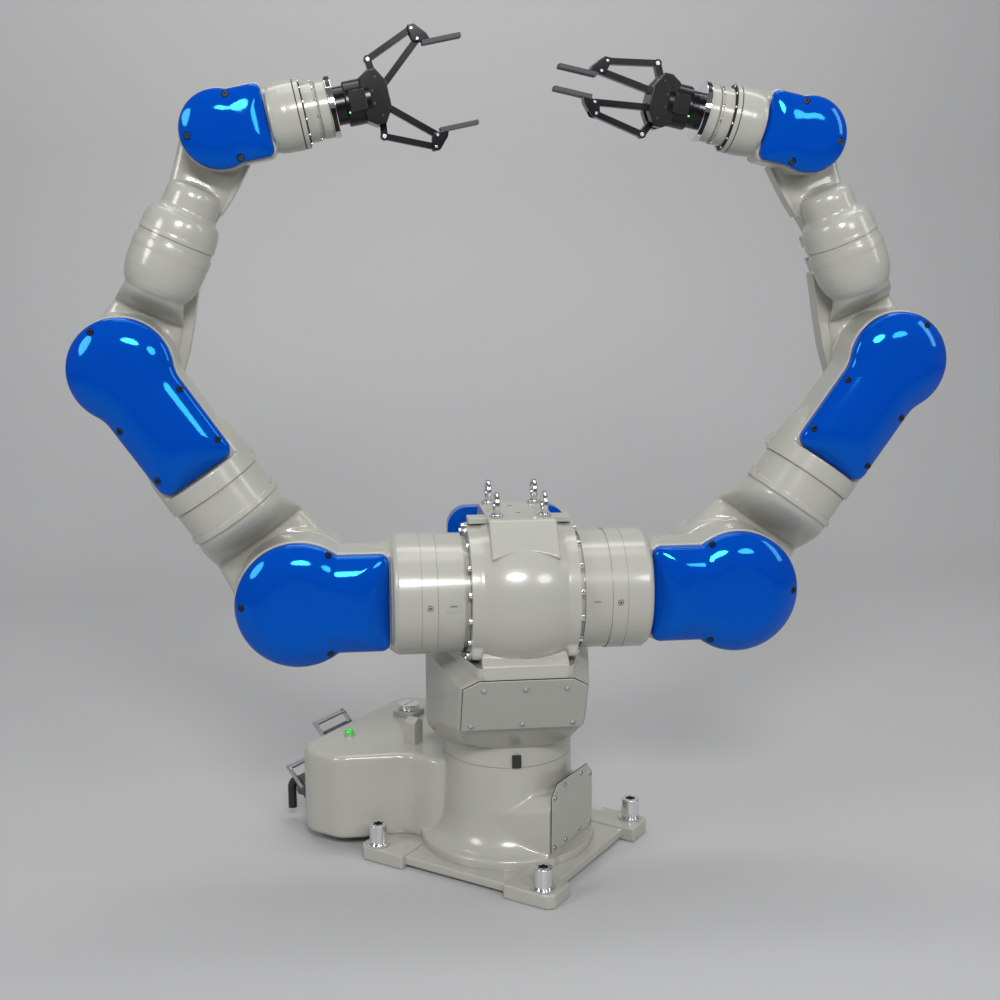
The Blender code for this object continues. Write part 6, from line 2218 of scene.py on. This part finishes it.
@dataclass
class Studio:
    """Seamless floor, pale round the robot and painted darker with shade towards the camera, soft boxes and the
    camera of the photograph.
    """

    camera_place: tuple[float, float, float] = (-0.3317, -2.5213, 1.1749)
    camera_tilt: float = math.radians(79.089)
    camera_turn: float = math.radians(-7.19)
    paper: Point2 = (0.45, 0.47)
    # Dark grey of the paper towards the camera: painted shade standing in for an unlit room.
    paper_shade: tuple[float, float, float] = (0.21, 0.21, 0.215)
    paper_fade: Point2 = (-3.2, -0.9)
    room: tuple[float, float, float] = (0.8, 0.84, 0.9)
    room_level: float = 0.17

    def build(self) -> None:
        """Set the floor, the lights and the camera."""
        self.floor()
        self.lights()
        self.camera()

    def floor(self) -> None:
        """Lay a floor that curves up into its backdrop, its paper painted darker towards the camera as painted
        shade.
        """
        rows = [(-6.0, -0.0005), (2.0, -0.0005)]
        rows += [(2.0 + 1.5 * s, 1.5 * (1.0 - c)) for c, s in Draw.turns(*range(6, 91, 6))]
        rows.append((3.5, 6.0))
        under = [(y + 0.02, z - 0.02) for y, z in reversed(rows)]
        sweep = Bench.slab(rows + under, -7.0, 7.0, Axis.X)
        sweep.name = "studio_sweep"
        material = bpy.data.materials.new("studio_paper")
        material.use_nodes = True
        tree = material.node_tree
        shader = tree.nodes["Principled BSDF"]
        shader.inputs["Roughness"].default_value = 0.55
        place = tree.nodes.new("ShaderNodeTexCoord")
        noise = tree.nodes.new("ShaderNodeTexNoise")
        noise.inputs["Scale"].default_value = 1.2
        ramp = tree.nodes.new("ShaderNodeValToRGB")
        for stop, level in zip(ramp.color_ramp.elements, self.paper):
            stop.color = (level, level, level, 1.0)
        tree.links.new(place.outputs["Object"], noise.inputs["Vector"])
        tree.links.new(noise.outputs["Fac"], ramp.inputs["Fac"])
        # Towards the camera the paper fades to dark grey: painted shade standing in for the unlit room that the
        # robot's front faces reflect.
        split = tree.nodes.new("ShaderNodeSeparateXYZ")
        tree.links.new(place.outputs["Object"], split.inputs["Vector"])
        near = tree.nodes.new("ShaderNodeMapRange")
        near.inputs["From Min"].default_value = self.paper_fade[0]
        near.inputs["From Max"].default_value = self.paper_fade[1]
        tree.links.new(split.outputs["Y"], near.inputs["Value"])
        fade = tree.nodes.new("ShaderNodeMix")
        fade.data_type = "RGBA"
        fade.inputs["A"].default_value = (*self.paper_shade, 1.0)
        tree.links.new(near.outputs["Result"], fade.inputs["Factor"])
        tree.links.new(ramp.outputs["Color"], fade.inputs["B"])
        tree.links.new(fade.outputs["Result"], shader.inputs["Base Color"])
        sweep.data.materials.append(material)
        Bench.pick(sweep)
        bpy.ops.object.shade_smooth_by_angle(angle=math.radians(30.0))

    def lights(self) -> None:
        """Hang the soft boxes and set a dim grey room."""
        world = bpy.context.scene.world or bpy.data.worlds.new("room")
        bpy.context.scene.world = world
        world.use_nodes = True
        room = world.node_tree.nodes["Background"]
        room.inputs["Color"].default_value = (*self.room, 1.0)
        room.inputs["Strength"].default_value = self.room_level
        self.box_light("key", (-0.25, -3.5, 2.75), (0.0, 0.0, 0.75), 1.3, 0.8, 92.0, "ELLIPSE")
        self.box_light("second", (1.6, -3.2, 2.35), (0.1, 0.0, 0.75), 1.0, 0.8, 26.0, "ELLIPSE")
        self.box_light("left_strip", (-3.4, -2.0, 2.5), (0.0, 0.0, 0.8), 1.1, 1.6, 46.0, "ELLIPSE")
        self.box_light("right_strip", (3.5, -1.5, 2.5), (0.0, 0.0, 0.8), 0.6, 2.0, 20.0, "RECTANGLE")
        self.box_light("overhead", (0.0, -0.2, 4.2), (0.0, 0.0, 0.6), 2.8, 1.6, 28.0, "RECTANGLE")
        self.box_light("sweep_wash", (0.5, 0.7, 3.9), (0.9, 3.4, 0.6), 5.0, 1.0, 66.0, "RECTANGLE")

    @staticmethod
    def box_light(
        name: str, place: Sequence[float], target: Sequence[float], wide: float, tall: float,
        power: float, shape: str,
    ) -> None:
        """Hang one area light.

        Args:
            name: Its name.
            place: Where it hangs.
            target: Point that it faces.
            wide: Width in metres.
            tall: Height in metres, unless it is round or square.
            power: Power in watts.
            shape: Blender's name for its shape.
        """
        data = bpy.data.lights.new(name, "AREA")
        data.shape = shape
        data.size = wide
        if shape in ("RECTANGLE", "ELLIPSE"):
            data.size_y = tall
        data.energy = power
        lamp = bpy.data.objects.new(name, data)
        bpy.context.scene.collection.objects.link(lamp)
        lamp.location = place
        way = Vector(target) - Vector(place)
        lamp.rotation_euler = way.to_track_quat("-Z", "Y").to_euler()

    def camera(self) -> None:
        """Stand the camera where the photograph was taken."""
        data = bpy.data.cameras.new("photograph")
        data.lens = 50.0
        data.sensor_width = 36.0
        data.dof.use_dof = False
        item = bpy.data.objects.new("photograph", data)
        bpy.context.scene.collection.objects.link(item)
        item.location = self.camera_place
        item.rotation_euler = (self.camera_tilt, 0.0, self.camera_turn)
        bpy.context.scene.camera = item
        bpy.context.scene.view_settings.view_transform = "Standard"


def main() -> None:
    logging.basicConfig(level=logging.INFO, format="%(message)s")
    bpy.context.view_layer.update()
    wardrobe = Wardrobe()
    LOG.info("base")
    Base().build(wardrobe)
    LOG.info("torso")
    Torso().build(wardrobe)
    LOG.info("arms")
    arm = Arm(wardrobe)
    arm.build()
    LOG.info("grippers")
    Gripper(arm, {Hand.LEFT: math.radians(40.5), Hand.RIGHT: math.radians(7.4)}).build()
    LOG.info("studio")
    Studio().build()
    bpy.context.view_layer.update()


if __name__ == "__main__":
    main()
